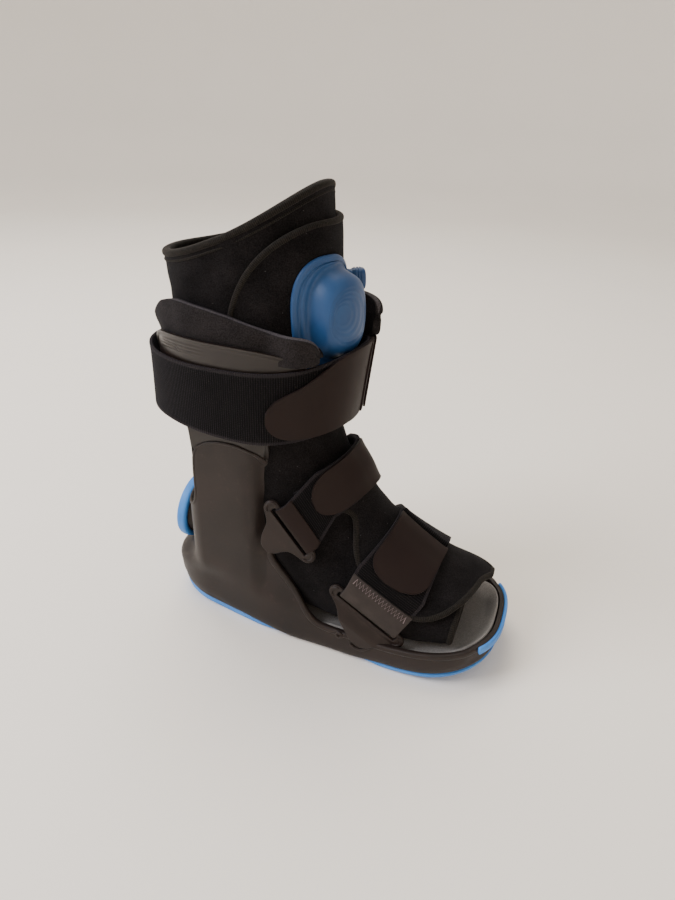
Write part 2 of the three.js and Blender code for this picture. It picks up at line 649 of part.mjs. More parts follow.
// The tongue over the foot: near and far are the turns of its two edges along the foot.
// Its front edge runs diagonally, from the near side to its tip on the far side.
const FOOT_FLAP_END = 13.95;
const FOOT_FLAP_ROWS = [
  { at: 6.2, near: FOOT_FLAP_SPREAD, far: FOOT_FLAP_SPREAD },
  { at: 7.5, near: 0.7 * FOOT_FLAP_SPREAD, far: FOOT_FLAP_SPREAD },
  { at: 8.6, near: 0.5 * FOOT_FLAP_SPREAD, far: FOOT_FLAP_SPREAD },
  { at: 9.9, near: 0.85 * FOOT_FLAP_SPREAD, far: FOOT_FLAP_SPREAD },
  { at: 11.2, near: 1.13 * FOOT_FLAP_SPREAD, far: FOOT_FLAP_SPREAD },
  { at: 11.8, near: 1.17 * FOOT_FLAP_SPREAD, far: FOOT_FLAP_SPREAD },
  { at: 12.4, near: 0.96 * FOOT_FLAP_SPREAD, far: FOOT_FLAP_SPREAD },
  { at: 13, near: 0.48 * FOOT_FLAP_SPREAD, far: FOOT_FLAP_SPREAD },
  { at: 13.5, near: -0.14 * FOOT_FLAP_SPREAD, far: 0.94 * FOOT_FLAP_SPREAD },
  { at: FOOT_FLAP_END, near: -0.5 * FOOT_FLAP_SPREAD, far: 0.72 * FOOT_FLAP_SPREAD },
];
function footFlap() {
  return sheetSolid(12, 18, (u, v, side) => {
    const at = mix(FOOT_FLAP_ROWS[0].at, FOOT_FLAP_END, v);
    const edges = readTable(FOOT_FLAP_ROWS, at);
    return skinOffset(at, mix(-edges.far, edges.near, u), side ? flapOuter : flapInner);
  });
}

// Plates, pads and the calf strap share one oval round the leg, each one a step further in
const calfLoopFront = legFront(1.1) + CALF_FRONT_ROOM;
const calfLoopRear = legFront(-0.9) - CALF_REAR_ROOM;
const calfLoopX = (calfLoopFront + calfLoopRear) / 2;
const calfHalfDepth = (calfLoopFront - calfLoopRear) / 2;
const calfHalfWidth = LEG_WIDTH / 2 + CALF_SIDE_ROOM;
function loopPoint(turn, z, inset, rearTuck = 0) {
  const c = Math.cos(radians(turn));
  const s = Math.sin(radians(turn));
  const frontRoundness = s > 0 ? LOOP_ROUNDNESS_NEAR : LOOP_ROUNDNESS_FAR;
  const power = 2 / (c > 0 ? frontRoundness : LOOP_ROUNDNESS_REAR);
  const tuck = rearTuck * Math.max(0, -c) ** 2;
  return new THREE.Vector3(
    calfLoopX + (calfHalfDepth - inset) * Math.sign(c) * Math.abs(c) ** power + tuck,
    -(calfHalfWidth - inset) * Math.sign(s) * Math.abs(s) ** power,
    z,
  );
}
const strapMiddle = (x) => CALF_STRAP_Z + CALF_STRAP_RISE * clamp((x - calfLoopX) / calfHalfDepth) ** 3;
const cuffOuter = STRAP_THICKNESS + SOFT_FIT;
const cuffInner = cuffOuter + CUFF_THICKNESS;
const padOuter = cuffInner + SOFT_FIT;
const padInner = padOuter + PAD_THICKNESS;

// The strap's front leans forward towards its upper edge
function onStrap(turn, across, inset) {
  const point = loopPoint(turn, 0, inset);
  point.z = strapMiddle(point.x) + across;
  point.x += CALF_STRAP_CONE * across * clamp((Math.cos(radians(turn)) - 0.75) / 0.25);
  return point;
}

function calfStrap() {
  return sheetSolid(32, 3, (u, v, side) => {
    return onStrap(360 * u, CALF_STRAP_WIDTH * (v - 0.5), side ? 0 : STRAP_THICKNESS);
  }, true);
}

// The strap's smooth hook end, laid over it from the front to the near side
const CALF_TAB_TURNS = { front: -10, tip: 69 };
function calfTab() {
  return sheetSolid(14, 4, (u, v, side) => {
    const turn = mix(CALF_TAB_TURNS.front, CALF_TAB_TURNS.tip, u);
    const round = Math.max(0.35, roundEnd((u - 0.8) / 0.2, 2));
    const low = -0.48 * CALF_STRAP_WIDTH;
    const high = mix(0.5, 0.2, smooth(0.4, 0.9, u)) * CALF_STRAP_WIDTH;
    const middle = (low + high) / 2;
    const inset = side ? -SOFT_FIT - TAB_THICKNESS : -SOFT_FIT;
    return onStrap(turn, middle + (high - low) * round * (v - 0.5), inset);
  });
}

// Each pad's front end stands out from the leg, the near one over the pump and the far one past the strap
const PADS = {
  near: { rear: 177, front: 41, flare: 3, lift: 10, endBottom: PAD_TOP_Z - 20, endTop: PAD_TOP_Z - 4 },
  far: { rear: -177, front: -21, flare: 11, lift: 0, endBottom: PAD_TOP_Z - 15, endTop: PAD_TOP_Z + 11 },
};
function pad(shape) {
  return sheetSolid(20, 4, (u, v, side) => {
    const turn = mix(shape.rear, shape.front, u);
    const toFront = smooth(0.6, 0.82, u);
    const bottom = mix(PAD_BOTTOM_Z, shape.endBottom, toFront);
    const top = mix(mix(PAD_TOP_Z - 4, PAD_TOP_Z, smooth(0, 0.15, u)), shape.endTop, toFront);
    const round = Math.max(0.4, roundEnd((u - 0.88) / 0.12, 2));
    const inset = (side ? padOuter : padInner) - shape.lift * smooth(0.82, 0.93, u);
    const z = (bottom + top) / 2 + (top - bottom) * round * (v - 0.5);
    const point = loopPoint(turn, z, inset, PAD_REAR_TUCK);
    point.x += shape.flare * smooth(0.8, 1, u);
    return point;
  });
}

// Calf plate: two wings and a stem that goes down inside the shell's upright
const CUFF_TURNS = { rear: 160, front: 42 };
const TUCK_TOP_Z = PAD_BOTTOM_Z - 14;
const stemOuterY = UPRIGHT_WIDTH / 2 - SHELL_WALL - FIT;
const archTop = UPRIGHT_SHOULDER_Z + UPRIGHT_ARCH_RISE;
const tuckBottom = archTop + 13;
const kneeShare = 3 / 7;
function cuff(side) {
  return sheetSolid(21, 7, (u, v, face) => {
    const turn = side * mix(-CUFF_TURNS.rear, -CUFF_TURNS.front, u);
    const { x } = loopPoint(turn, 0, cuffOuter, CUFF_REAR_TUCK);
    const stemRear = UPRIGHT_REAR_X + STEM_MARGIN;
    const stemFront = UPRIGHT_FRONT_X - RETURN_WIDTH - FIT - 4;
    const inStem = smooth(stemRear - 9, stemRear, x) * (1 - smooth(stemFront - 9, stemFront, x));
    const behindFront = 1 - smooth(UPRIGHT_FRONT_X - 6, UPRIGHT_FRONT_X + 8, x);
    const overUpright = smooth(stemRear - 16, stemRear - 4, x) * behindFront;
    const ends = 1 - roundEnd(Math.abs(2 * u - 1), 3.2);
    const skirt = mix(CUFF_BOTTOM_Z + 8 * ends, archTop + 1, overUpright);
    const bottom = mix(skirt, STEM_BOTTOM_Z, inStem);
    const top = mix(CUFF_TOP_Z, CUFF_TOP_Z - 30, ends);
    const knee = Math.max(tuckBottom, bottom + 3);
    const above = (v - kneeShare) / (1 - kneeShare);
    const z = v < kneeShare ? mix(bottom, knee, v / kneeShare) : mix(knee, top, above);
    const point = loopPoint(turn, z, face ? cuffOuter : cuffInner, CUFF_REAR_TUCK);
    const low = 1 - smooth(tuckBottom, TUCK_TOP_Z, z);
    const tucked = Math.min(Math.abs(point.y), stemOuterY - (face ? 0 : CUFF_THICKNESS));
    point.y = side * mix(Math.abs(point.y), tucked, low);
    return point;
  });
}

// Straps over the foot lie on the flap; their ends come down to the buckles' slots
const strapInner = flapOuter + WRAP_FIT;
const strapOuter = strapInner + STRAP_THICKNESS;
const tabInner = strapOuter + SOFT_FIT;
const tabOuter = tabInner + TAB_THICKNESS;

// from, to: the stations of a strap's edges; fold, tip: the turns of a hook end's two ends
const INSTEP = { from: 6.1, to: 8.55 };
const TOE = { from: 10.05, to: 12.0 };
const INSTEP_TAB = { from: 6.1, to: 8.4, fold: -24, tip: 52, narrow: 0.86 };
const TOE_TAB = { from: 10.05, to: 12.0, fold: -22, tip: 56, narrow: 0.9 };
const endLift = BUCKLE_THICKNESS + SOFT_FIT;
const END_LIFT_FROM = 16;
const END_LIFT_TO = 6;
function footStrap(band, spreadAt) {
  return sheetSolid(24, 4, (u, v, side) => {
    const spread = spreadAt(v);
    const turn = mix(-spread, spread, u);
    const lift = endLift * smooth(spread - END_LIFT_FROM, spread - END_LIFT_TO, Math.abs(turn));
    return skinOffset(mix(band.from, band.to, v), turn, (side ? strapOuter : strapInner) + lift);
  });
}
const instepStrap = () => footStrap(INSTEP, () => INSTEP_STRAP_SPREAD);
const toeStrap = () => footStrap(TOE, (v) => TOE_STRAP_SPREAD + TOE_STRAP_GAIN * v);

// A hook end with a rounded tip on the near side
function footTab(tab) {
  return sheetSolid(10, 4, (u, v, side) => {
    const spread = mix(1, tab.narrow, u) * Math.max(0.3, roundEnd((u - 0.72) / 0.28, 2.2));
    const at = mix(tab.from, tab.to, 0.5 + spread * (v - 0.5));
    return skinOffset(at, mix(tab.fold, tab.tip, u), side ? tabOuter : tabInner);
  });
}

// Buckle: a flat plate with two ears, a slot for the strap between them and a foot on the shell.
// rear, front: the middles of the ears; foot: the middle of the plate's lower end
function buckle(side, places) {
  const rear = new THREE.Vector3(places.rear.x, side * places.rear.y, places.rear.z);
  const front = new THREE.Vector3(places.front.x, side * places.front.y, places.front.z);
  const foot = new THREE.Vector3(places.foot.x, side * places.foot.y, places.foot.z);
  const along = front.clone().sub(rear).normalize();
  const toFoot = foot.clone().sub(rear);
  const footAlong = toFoot.dot(along);
  const down = toFoot.addScaledVector(along, -footAlong);
  const depth = down.length();
  down.normalize();
  const face = new THREE.Vector3().crossVectors(along, down);
  const length = front.distanceTo(rear);
  const r = BUCKLE_EAR_RADIUS;
  const half = places.footHalf;
  const shape = new THREE.Shape();
  shape.moveTo(length, -r);
  shape.absarc(length, 0, r, -Math.PI / 2, Math.PI * 0.4, false);
  shape.quadraticCurveTo(footAlong + half + 5, depth - 14, footAlong + half, depth);
  shape.quadraticCurveTo(footAlong, depth + 6, footAlong - half, depth);
  shape.quadraticCurveTo(footAlong - half - 3, depth - 14, -0.8 * r, 0.6 * r);
  shape.absarc(0, 0, r, Math.PI * 0.8, Math.PI * 1.5, false);
  const slot = new THREE.Path();
  const gap = BUCKLE_SLOT_WIDTH / 2;
  slot.moveTo(1, -gap);
  slot.lineTo(1, gap);
  slot.lineTo(length - 1, gap);
  slot.lineTo(length - 1, -gap);
  shape.holes.push(slot);
  const cut = { depth: BUCKLE_THICKNESS, bevelEnabled: false, curveSegments: 6 };
  const plate = new THREE.ExtrudeGeometry(shape, cut);
  plate.deleteAttribute('normal');
  plate.deleteAttribute('uv');
  const merged = mergeVertices(plate, 1e-4);
  const outward = face.y * side > 0 ? 1 : -1;
  const position = merged.attributes.position;
  const points = Array.from({ length: position.count }, (_, i) => rear.clone()
    .addScaledVector(along, position.getX(i))
    .addScaledVector(down, position.getY(i))
    .addScaledVector(face, outward * (position.getZ(i) - BUCKLE_THICKNESS)));
  const corners = Array.from(merged.index.array);
  const faces = [];
  for (let i = 0; i < corners.length; i += 3) faces.push(corners.slice(i, i + 3));
  return closedGeometry(points, faces);
}
const sideHalf = (x) => readTable(PLAN_ROWS, x).half;
const BRACE_FOOT_X = UPRIGHT_FRONT_X + 7;
const INSTEP_BUCKLE = {
  rear: { x: UPRIGHT_FRONT_X + BUCKLE_EAR_RADIUS + FIT, y: 53, z: 134 },
  front: { x: -4, y: 52, z: 93 },
  foot: { x: BRACE_FOOT_X, y: uprightHalf(BRACE_FOOT_X) + FIT + BUCKLE_THICKNESS + 2.5, z: UPRIGHT_FOOT_Z + 4 },
  footHalf: 9,
};
const TOE_BUCKLE_X = 46;
const TOE_BUCKLE = {
  rear: { x: 25, y: 56, z: 66 },
  front: { x: 82, y: 58.5, z: 35 },
  foot: { x: TOE_BUCKLE_X, y: sideHalf(TOE_BUCKLE_X) - SHELL_WALL - 2 * FIT, z: RIM_HEIGHT - 3 },
  footHalf: 7,
};

// Air pump on the front wrap: a flange with a groove, and a rubber dome
const PUMP_STEPS = 20;
function pumpPoint(across, rise, offset) {
  const beside = (turn) => legPoint(PUMP_TURN + turn, PUMP_Z, flapOuter);
  const width = beside(1).distanceTo(beside(-1)) / 2;
  return legPoint(PUMP_TURN + across / width, PUMP_Z + rise, flapOuter + SOFT_FIT + offset);
}
const PUMP_ROWS = [
  { share: 0.33, rise: 0 }, { share: 0.66, rise: 0 }, { share: 1, rise: 0 },
  { share: 1, rise: 0.6 * PUMP_FLANGE }, { share: 0.95, rise: PUMP_FLANGE },
  { share: 0.86, rise: PUMP_FLANGE }, { share: 0.84, rise: 0.6 * PUMP_FLANGE },
  { share: 0.8, rise: PUMP_FLANGE + 1 },
  { share: 0.74, rise: 0.55 * PUMP_RISE }, { share: 0.65, rise: 0.84 * PUMP_RISE },
  { share: 0.42, rise: 0.97 * PUMP_RISE },
];
function pump() {
  const ring = (row) => Array.from({ length: PUMP_STEPS }, (_, i) => {
    const turn = (2 * Math.PI * i) / PUMP_STEPS;
    const [c, s] = [Math.cos(turn), Math.sin(turn)];
    const across = (PUMP_WIDTH / 2) * row.share * Math.sign(c) * Math.abs(c) ** 0.8;
    const rise = (PUMP_HEIGHT / 2) * row.share * Math.sign(s) * Math.abs(s) ** 0.8;
    return pumpPoint(across, rise, row.rise);
  });
  return moundSolid(PUMP_ROWS.map(ring), pumpPoint(0, 0, 0), pumpPoint(0, 0, PUMP_RISE));
}

// Release valve beside the pump
const VALVE_TURN = PUMP_TURN - VALVE_PUMP_TURN;
const VALVE_STEPS = 12;
function releaseValve() {
  const base = flapOuter + SOFT_FIT;
  const z = PUMP_Z + VALVE_LIFT;
  const ring = (radius, rise) => Array.from({ length: VALVE_STEPS }, (_, i) => {
    const turn = (2 * Math.PI * i) / VALVE_STEPS;
    const height = z + VALVE_TALL * radius * Math.sin(turn);
    return legPoint(VALVE_TURN + radius * Math.cos(turn), height, base + rise);
  });
  const foot = VALVE_RADIUS + VALVE_FOOT;
  const rings = [ring(foot, 0), ring(foot, 2), ring(VALVE_RADIUS, 3), ring(VALVE_RADIUS, VALVE_LENGTH)];
  const middle = (rise) => legPoint(VALVE_TURN, z, base + rise);
  return moundSolid(rings, middle(0), middle(VALVE_LENGTH + 1));
}

// Assembly

function material(colour, roughness, metalness = 0) {
  return new THREE.MeshStandardMaterial({ color: colour, roughness, metalness, side: THREE.DoubleSide });
}
const SHELL_COLOUR = 0x3a3230;
const RUBBER_BLUE = 0x4f8fd8;
const PUMP_BLUE = 0x4670a8;
const FOAM_BLACK = 0x1b1a1b;
const WEBBING_BLACK = 0x161518;
const TAB_BROWN = 0x2c221e;

const boot = new THREE.Group();
boot.name = 'walking_boot';
function addPiece(name, geometry, look) {
  const bare = geometry.clone();
  bare.deleteAttribute('normal');
  bare.deleteAttribute('uv');
  const piece = new THREE.Mesh(mergeVertices(bare, 1e-4), look);
  piece.name = name;
  boot.add(piece);
}

addPiece('outsole', outsole(), material(RUBBER_BLUE, 0.6));
addPiece('shell', shell(), material(SHELL_COLOUR, 0.45));
addPiece('heel_ring', heelRing(), material(RUBBER_BLUE, 0.5));
addPiece('footbed', footbed(), material(0x504e4a, 0.95));
addPiece('liner', liner(), material(FOAM_BLACK, 0.95));
addPiece('front_flap', frontFlap(), material(FOAM_BLACK, 0.95));
addPiece('foot_flap', footFlap(), material(FOAM_BLACK, 0.95));
addPiece('pad_near', pad(PADS.near), material(FOAM_BLACK, 0.95));
addPiece('pad_far', pad(PADS.far), material(FOAM_BLACK, 0.95));
addPiece('cuff_near', cuff(NEAR), material(SHELL_COLOUR, 0.3));
addPiece('cuff_far', cuff(FAR), material(SHELL_COLOUR, 0.3));
addPiece('calf_strap', calfStrap(), material(WEBBING_BLACK, 0.9));
addPiece('calf_tab', calfTab(), material(TAB_BROWN, 0.7));
addPiece('instep_strap', instepStrap(), material(WEBBING_BLACK, 0.9));
addPiece('instep_tab', footTab(INSTEP_TAB), material(TAB_BROWN, 0.7));
addPiece('toe_strap', toeStrap(), material(WEBBING_BLACK, 0.9));
addPiece('toe_tab', footTab(TOE_TAB), material(TAB_BROWN, 0.7));
addPiece('instep_buckle_near', buckle(NEAR, INSTEP_BUCKLE), material(SHELL_COLOUR, 0.45));
addPiece('instep_buckle_far', buckle(FAR, INSTEP_BUCKLE), material(SHELL_COLOUR, 0.45));
addPiece('toe_buckle_near', buckle(NEAR, TOE_BUCKLE), material(SHELL_COLOUR, 0.45));
addPiece('toe_buckle_far', buckle(FAR, TOE_BUCKLE), material(SHELL_COLOUR, 0.45));
addPiece('pump', pump(), material(PUMP_BLUE, 0.5));
addPiece('release_valve', releaseValve(), material(PUMP_BLUE, 0.5));

export default boot;
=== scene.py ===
# Walking boot for a hurt ankle or foot: the looks of each piece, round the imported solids.
# Lengths are in millimetres until a mesh is made; +X to the toe, +Y to the far side, +Z up.

import math
import bmesh
import bpy
import numpy as np
from mathutils import Matrix, Vector, noise


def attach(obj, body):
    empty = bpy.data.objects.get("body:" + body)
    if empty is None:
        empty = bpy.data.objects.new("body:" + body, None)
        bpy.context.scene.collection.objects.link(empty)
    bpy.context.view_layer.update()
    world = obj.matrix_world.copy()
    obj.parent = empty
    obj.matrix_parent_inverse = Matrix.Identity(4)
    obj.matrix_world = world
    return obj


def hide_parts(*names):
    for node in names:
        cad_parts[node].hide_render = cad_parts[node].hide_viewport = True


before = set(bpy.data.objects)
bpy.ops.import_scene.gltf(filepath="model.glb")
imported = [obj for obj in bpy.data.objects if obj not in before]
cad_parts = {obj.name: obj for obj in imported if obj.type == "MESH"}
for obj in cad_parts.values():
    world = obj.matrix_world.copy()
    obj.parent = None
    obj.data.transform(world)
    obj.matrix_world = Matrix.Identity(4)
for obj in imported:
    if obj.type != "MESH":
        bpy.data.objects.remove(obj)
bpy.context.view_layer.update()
MM = 0.001

# Sizes of the solids that the pieces lie on
HEEL_X, TOE_X = -156, 163
HEEL_ROUND_LENGTH, TOE_ROUND_LENGTH = 50, 66
HEEL_ROUNDNESS, TOE_ROUNDNESS_NEAR, TOE_ROUNDNESS_FAR = 2.1, 2.4, 3.1
HEEL_WIDTH, WAIST_WIDTH, FOREFOOT_WIDTH = 101, 122, 131
FLAT_START_X, FLAT_END_X = -75, 60
HEEL_ROCKER_RADIUS, TOE_ROCKER_RADIUS = 300, 330
OUTSOLE_EDGE, OUTSOLE_CORE = 4.5, 11
BUMPER_START_X = 149
SHELL_WALL, SHELL_FLOOR = 4, 3.5
RIM_HEIGHT, TOE_RIM_HEIGHT = 28, 38
UPRIGHT_REAR_X, UPRIGHT_FRONT_X, UPRIGHT_WIDTH = -111, -43, 114
UPRIGHT_SHOULDER_Z, UPRIGHT_ARCH_RISE = 168, 20
BRACE_END_X = 6
RETURN_DEPTH, RETURN_WIDTH = 5, 17
HEEL_CUP_Z, HEEL_NECK_X = 116, -134
RING_CENTRE_Z, RING_HALF_WIDTH, RING_HALF_HEIGHT = 80, 32, 33
RING_NECK_SHARE = 0.8
RING_LIP_X = -149
FOOTBED_BOTTOM, FOOTBED_TOP = 15.3, 21.3
SOLE_PLANE = 21.8
LEG_X, LEG_DEPTH, LEG_WIDTH, RIM_FLARE = -80, 136, 98, 1.16
BOOT_HEIGHT, FOOT_LENGTH, FOOT_WIDTH = 388, 260, 106
LINER_WALL = 6
FLAP_INNER, FLAP_OUTER = 0.9, 5.1
FRONT_FLAP_TOP_Z, FRONT_FLAP_BOTTOM_Z = 362, 236
PAD_TOP_Z, PAD_BOTTOM_Z, PAD_THICKNESS = 289, 230, 6.5
CUFF_TOP_Z, CUFF_BOTTOM_Z, CUFF_THICKNESS = 270, 210, 2.6
REAR_TUCK = 8
STEM_BOTTOM_Z = 150
CUFF_OUTER, PAD_OUTER, PAD_INNER = 3.3, 6.4, 12.9
LOOP_X, LOOP_HALF_DEPTH, LOOP_HALF_WIDTH = -76, 94, 68
LOOP_ROUNDNESS_NEAR, LOOP_ROUNDNESS_FAR, LOOP_ROUNDNESS_REAR = 2.35, 2.0, 2.1
CALF_STRAP_WIDTH, CALF_STRAP_Z, CALF_STRAP_RISE, CALF_STRAP_CONE = 55, 229, 17, 0.12
STRAP_THICKNESS = 2.6
STRAP_INNER, STRAP_OUTER = 6.0, 8.8
TAB_THICKNESS = 2.0
LAYER_THICKNESS = 1.8
BUCKLE_THICKNESS, BUCKLE_SLOT_WIDTH, BUCKLE_EAR_RADIUS = 3.0, 4.0, 5.5
PUMP_TURN, PUMP_Z, PUMP_WIDTH, PUMP_HEIGHT = 17, 294, 62, 92
NEAR, FAR = -1, 1


# Shapes of curves


def mix(a, b, t):
    return a + (b - a) * t


def clamp(t):
    return np.clip(t, 0.0, 1.0)


def smooth(start, end, x):
    t = clamp((np.asarray(x, float) - start) / (end - start))
    return t * t * (3 - 2 * t)


def within(start, full, fall, end, x):
    """1 from full to fall, running out smoothly to 0 at start and at end."""
    return smooth(start, full, x) * (1 - smooth(fall, end, x))


def step_of(share, count):
    """The nearest of count even steps, for a share of the way."""
    return np.rint(share * count).astype(int)


def round_end(t, power):
    return (1 - clamp(t) ** power) ** (1 / power)


def signed_power(value, power):
    return np.sign(value) * np.abs(value) ** power


def read_table(places, rows, at):
    """Reads a table at any place, with smooth slopes between its rows."""
    at = np.asarray(at, float)
    last = len(places) - 1
    i = np.clip(np.searchsorted(places[1:-1], at, side="left"), 0, last - 1)
    before, after = np.maximum(i - 1, 0), np.minimum(i + 2, last)
    a, b = rows[i], rows[i + 1]
    span = (places[i + 1] - places[i])[..., None]
    t = (at[..., None] - places[i][..., None]) / span
    slope_a = (b - rows[before]) / (places[i + 1] - places[before])[..., None] * span
    slope_b = (rows[after] - a) / (places[after] - places[i])[..., None] * span
    return ((2 * t ** 3 - 3 * t ** 2 + 1) * a + (t ** 3 - 2 * t ** 2 + t) * slope_a
            + (3 * t ** 2 - 2 * t ** 3) * b + (t ** 3 - t ** 2) * slope_b)


def spline(points, count):
    """A smooth line of count points, evenly spaced, through the points given."""
    points = np.asarray(points, float)
    steps = np.linalg.norm(np.diff(points, axis=0), axis=1)
    along = np.concatenate([[0], np.cumsum(np.maximum(steps, 1e-6))])
    fine = read_table(along, points, np.linspace(0, along[-1], 12 * len(points)))
    lengths = np.concatenate([[0], np.cumsum(np.linalg.norm(np.diff(fine, axis=0), axis=1))])
    even = np.linspace(0, lengths[-1], count)
    return np.stack([np.interp(even, lengths, fine[:, k]) for k in range(fine.shape[1])], axis=1)


def unevenness(points, size, height, seed):
    """Smooth random height, with bumps of a size in millimetres."""
    shift = Vector((seed * 17.3, seed * 5.1, seed * 9.7))
    return height * np.array([noise.noise(Vector(p) / size + shift) for p in points])


# The bootie's skin: sections from the top rim (0), round the heel (7), to the toe (13)


def rocker_height(x):
    x = np.asarray(x, float)
    heel = HEEL_ROCKER_RADIUS - np.sqrt(HEEL_ROCKER_RADIUS ** 2 - np.minimum(0, x - FLAT_START_X) ** 2)
    toe = TOE_ROCKER_RADIUS - np.sqrt(TOE_ROCKER_RADIUS ** 2 - np.maximum(0, x - FLAT_END_X) ** 2)
    return heel + toe


def leg_front(share):
    return LEG_X + share * LEG_DEPTH / 2


def along_foot(share):
    return TOE_X - 35 - share * FOOT_LENGTH


def up(share):
    return share * BOOT_HEIGHT


def on_sole(share, lift=0):
    x = along_foot(share)
    return x, float(rocker_height(x)) + SOLE_PLANE + lift


LEG_HALF, FOOT_HALF = LEG_WIDTH / 2, FOOT_WIDTH / 2
# front or top (x, z), back or sole (x, z), half width, roundness before, behind, share where widest
STATIONS = np.array([
    (leg_front(0.97), up(1), leg_front(-1.03), up(0.855), RIM_FLARE * LEG_HALF, 2.1, 2.1, 0.5),
    (leg_front(1.02), up(0.91), leg_front(-0.99), up(0.775), 1.08 * LEG_HALF, 2.1, 2.1, 0.5),
    (leg_front(1.06), up(0.78), leg_front(-0.94), up(0.68), LEG_HALF, 2.2, 2.2, 0.5),
    (leg_front(1.1), up(0.645), leg_front(-0.9), up(0.575), 0.98 * LEG_HALF, 2.2, 2.2, 0.5),
    (leg_front(1.13), up(0.55), leg_front(-0.85), up(0.455), 0.99 * LEG_HALF, 2.2, 2.2, 0.5),
    (leg_front(1.19), up(0.49), leg_front(-0.73), up(0.34), 0.98 * LEG_HALF, 2.2, 2.3, 0.5),
    (leg_front(1.31), up(0.443), HEEL_NECK_X + 10, up(0.23), 0.97 * LEG_HALF, 2.2, 2.4, 0.5),
    (leg_front(1.46), up(0.405), along_foot(0.965), up(0.135), 0.95 * LEG_HALF, 2.2, 2.5, 0.5),
    (leg_front(1.58), up(0.365), *on_sole(0.9, 8), 0.88 * FOOT_HALF, 2.2, 2.7, 0.48),
    (leg_front(1.76), up(0.326), *on_sole(0.79), 0.89 * FOOT_HALF, 2.2, 3, 0.46),
    (leg_front(2.04), up(0.277), *on_sole(0.61), 0.95 * FOOT_HALF, 2.2, 3.2, 0.44),
    (along_foot(0.165), up(0.232), *on_sole(0.38), 1.01 * FOOT_HALF, 2.2, 3.2, 0.42),
    (along_foot(0.077), up(0.198), *on_sole(0.165), 1.01 * FOOT_HALF, 2.3, 3.2, 0.42),
    (along_foot(0), up(0.176), *on_sole(0.01, 1), 0.96 * FOOT_HALF, 2.4, 3, 0.42),
    (along_foot(-0.077), up(0.156), *on_sole(-0.06, 3), 0.86 * FOOT_HALF, 2.4, 3, 0.42),
])
STATION_PLACES = np.arange(len(STATIONS), dtype=float)
LAST_STATION = 13


def skin_point(at, turn):
    """Turn 0 is the front or top; positive turns go to the near side."""
    at, turn = np.broadcast_arrays(np.asarray(at, float), np.asarray(turn, float))
    row = read_table(STATION_PLACES, STATIONS, at)
    top, back = row[..., 0:2], row[..., 2:4]
    half, before, behind, middle = (row[..., k] for k in (4, 5, 6, 7))
    centre = back + (top - back) * middle[..., None]
    cos, sin = np.cos(np.radians(turn)), np.sin(np.radians(turn))
    power = 2 / np.where(cos > 0, before, behind)
    reach = np.where((cos > 0)[..., None], top - centre, back - centre)
    place = centre + reach * (np.abs(cos) ** power)[..., None]
    return np.stack([place[..., 0], -half * signed_power(sin, power), place[..., 1]], axis=-1)


def skin_offset(at, turn, offset):
    along = skin_point(at + 0.02, turn) - skin_point(at - 0.02, turn)
    around = skin_point(at, turn + 1.0) - skin_point(at, turn - 1.0)
    normal = np.cross(around, along)
    normal /= np.linalg.norm(normal, axis=-1, keepdims=True)
    return skin_point(at, turn) + normal * np.asarray(offset, float)[..., None]


def station_at_height(turn, z):
    turn, z = np.broadcast_arrays(np.asarray(turn, float), np.asarray(z, float))
    low, high = np.full(turn.shape, -0.4), np.full(turn.shape, 7.0)
    for _ in range(24):
        middle = (low + high) / 2
        above = skin_point(middle, turn)[..., 2] > z
        low, high = np.where(above, middle, low), np.where(above, high, middle)
    return (low + high) / 2


def leg_point(turn, z, offset):
    return skin_offset(station_at_height(turn, z), turn, offset)


def rim_z(turn):
    return mix(up(0.853), BOOT_HEIGHT, ((1 + np.cos(np.radians(turn))) / 2) ** 1.7)


# The oval that the calf strap, the calf plates and the foam pads share, each a step further in


def loop_point(turn, z, inset, rear_tuck=0.0):
    turn, z, inset = np.broadcast_arrays(*(np.asarray(a, float) for a in (turn, z, inset)))
    c, s = np.cos(np.radians(turn)), np.sin(np.radians(turn))
    ahead = np.where(s > 0, LOOP_ROUNDNESS_NEAR, LOOP_ROUNDNESS_FAR)
    power = 2 / np.where(c > 0, ahead, LOOP_ROUNDNESS_REAR)
    x = LOOP_X + (LOOP_HALF_DEPTH - inset) * signed_power(c, power) + rear_tuck * np.maximum(0, -c) ** 2
    y = -(LOOP_HALF_WIDTH - inset) * signed_power(s, power)
    return np.stack([x, y, z], axis=-1)


def on_calf_strap(turn, across, inset):
    point = loop_point(turn, 0, inset)
    rise = CALF_STRAP_RISE * clamp((point[..., 0] - LOOP_X) / LOOP_HALF_DEPTH) ** 3
    point[..., 2] = CALF_STRAP_Z + rise + across
    point[..., 0] += CALF_STRAP_CONE * across * clamp((np.cos(np.radians(turn)) - 0.75) / 0.25)
    return point


# The sole's plan: place 0 is the middle of the heel, 1 to 2 the straight side, 3 the middle of the toe

PLAN_PLACES = np.array([mix(HEEL_X, TOE_X, t) for t in (0, 50 / 319, 0.38, 0.56, 0.78, 1)])
PLAN_HALVES = np.array([[0.49 * HEEL_WIDTH], [0.5 * HEEL_WIDTH], [0.5 * WAIST_WIDTH],
                        [0.51 * WAIST_WIDTH], [0.5 * FOREFOOT_WIDTH], [0.48 * FOREFOOT_WIDTH]])
HEEL_END = HEEL_X + HEEL_ROUND_LENGTH
TOE_START = TOE_X - TOE_ROUND_LENGTH
# height, share of the upright's width, where the heel ends
WALL_HEIGHTS = np.array([0, 9, 22, 32, 38, 42, 46, 50, 54, 62, 116, 210], float)
WALL_ROWS = np.array([(0, HEEL_X), (0, HEEL_X), (0, -157.6), (0.04, -159.2), (0.09, -159.6), (0.2, -156.5),
                      (0.38, -149), (0.55, -141), (0.7, -136), (0.8, HEEL_NECK_X), (1, HEEL_NECK_X),
                      (1, HEEL_NECK_X)])


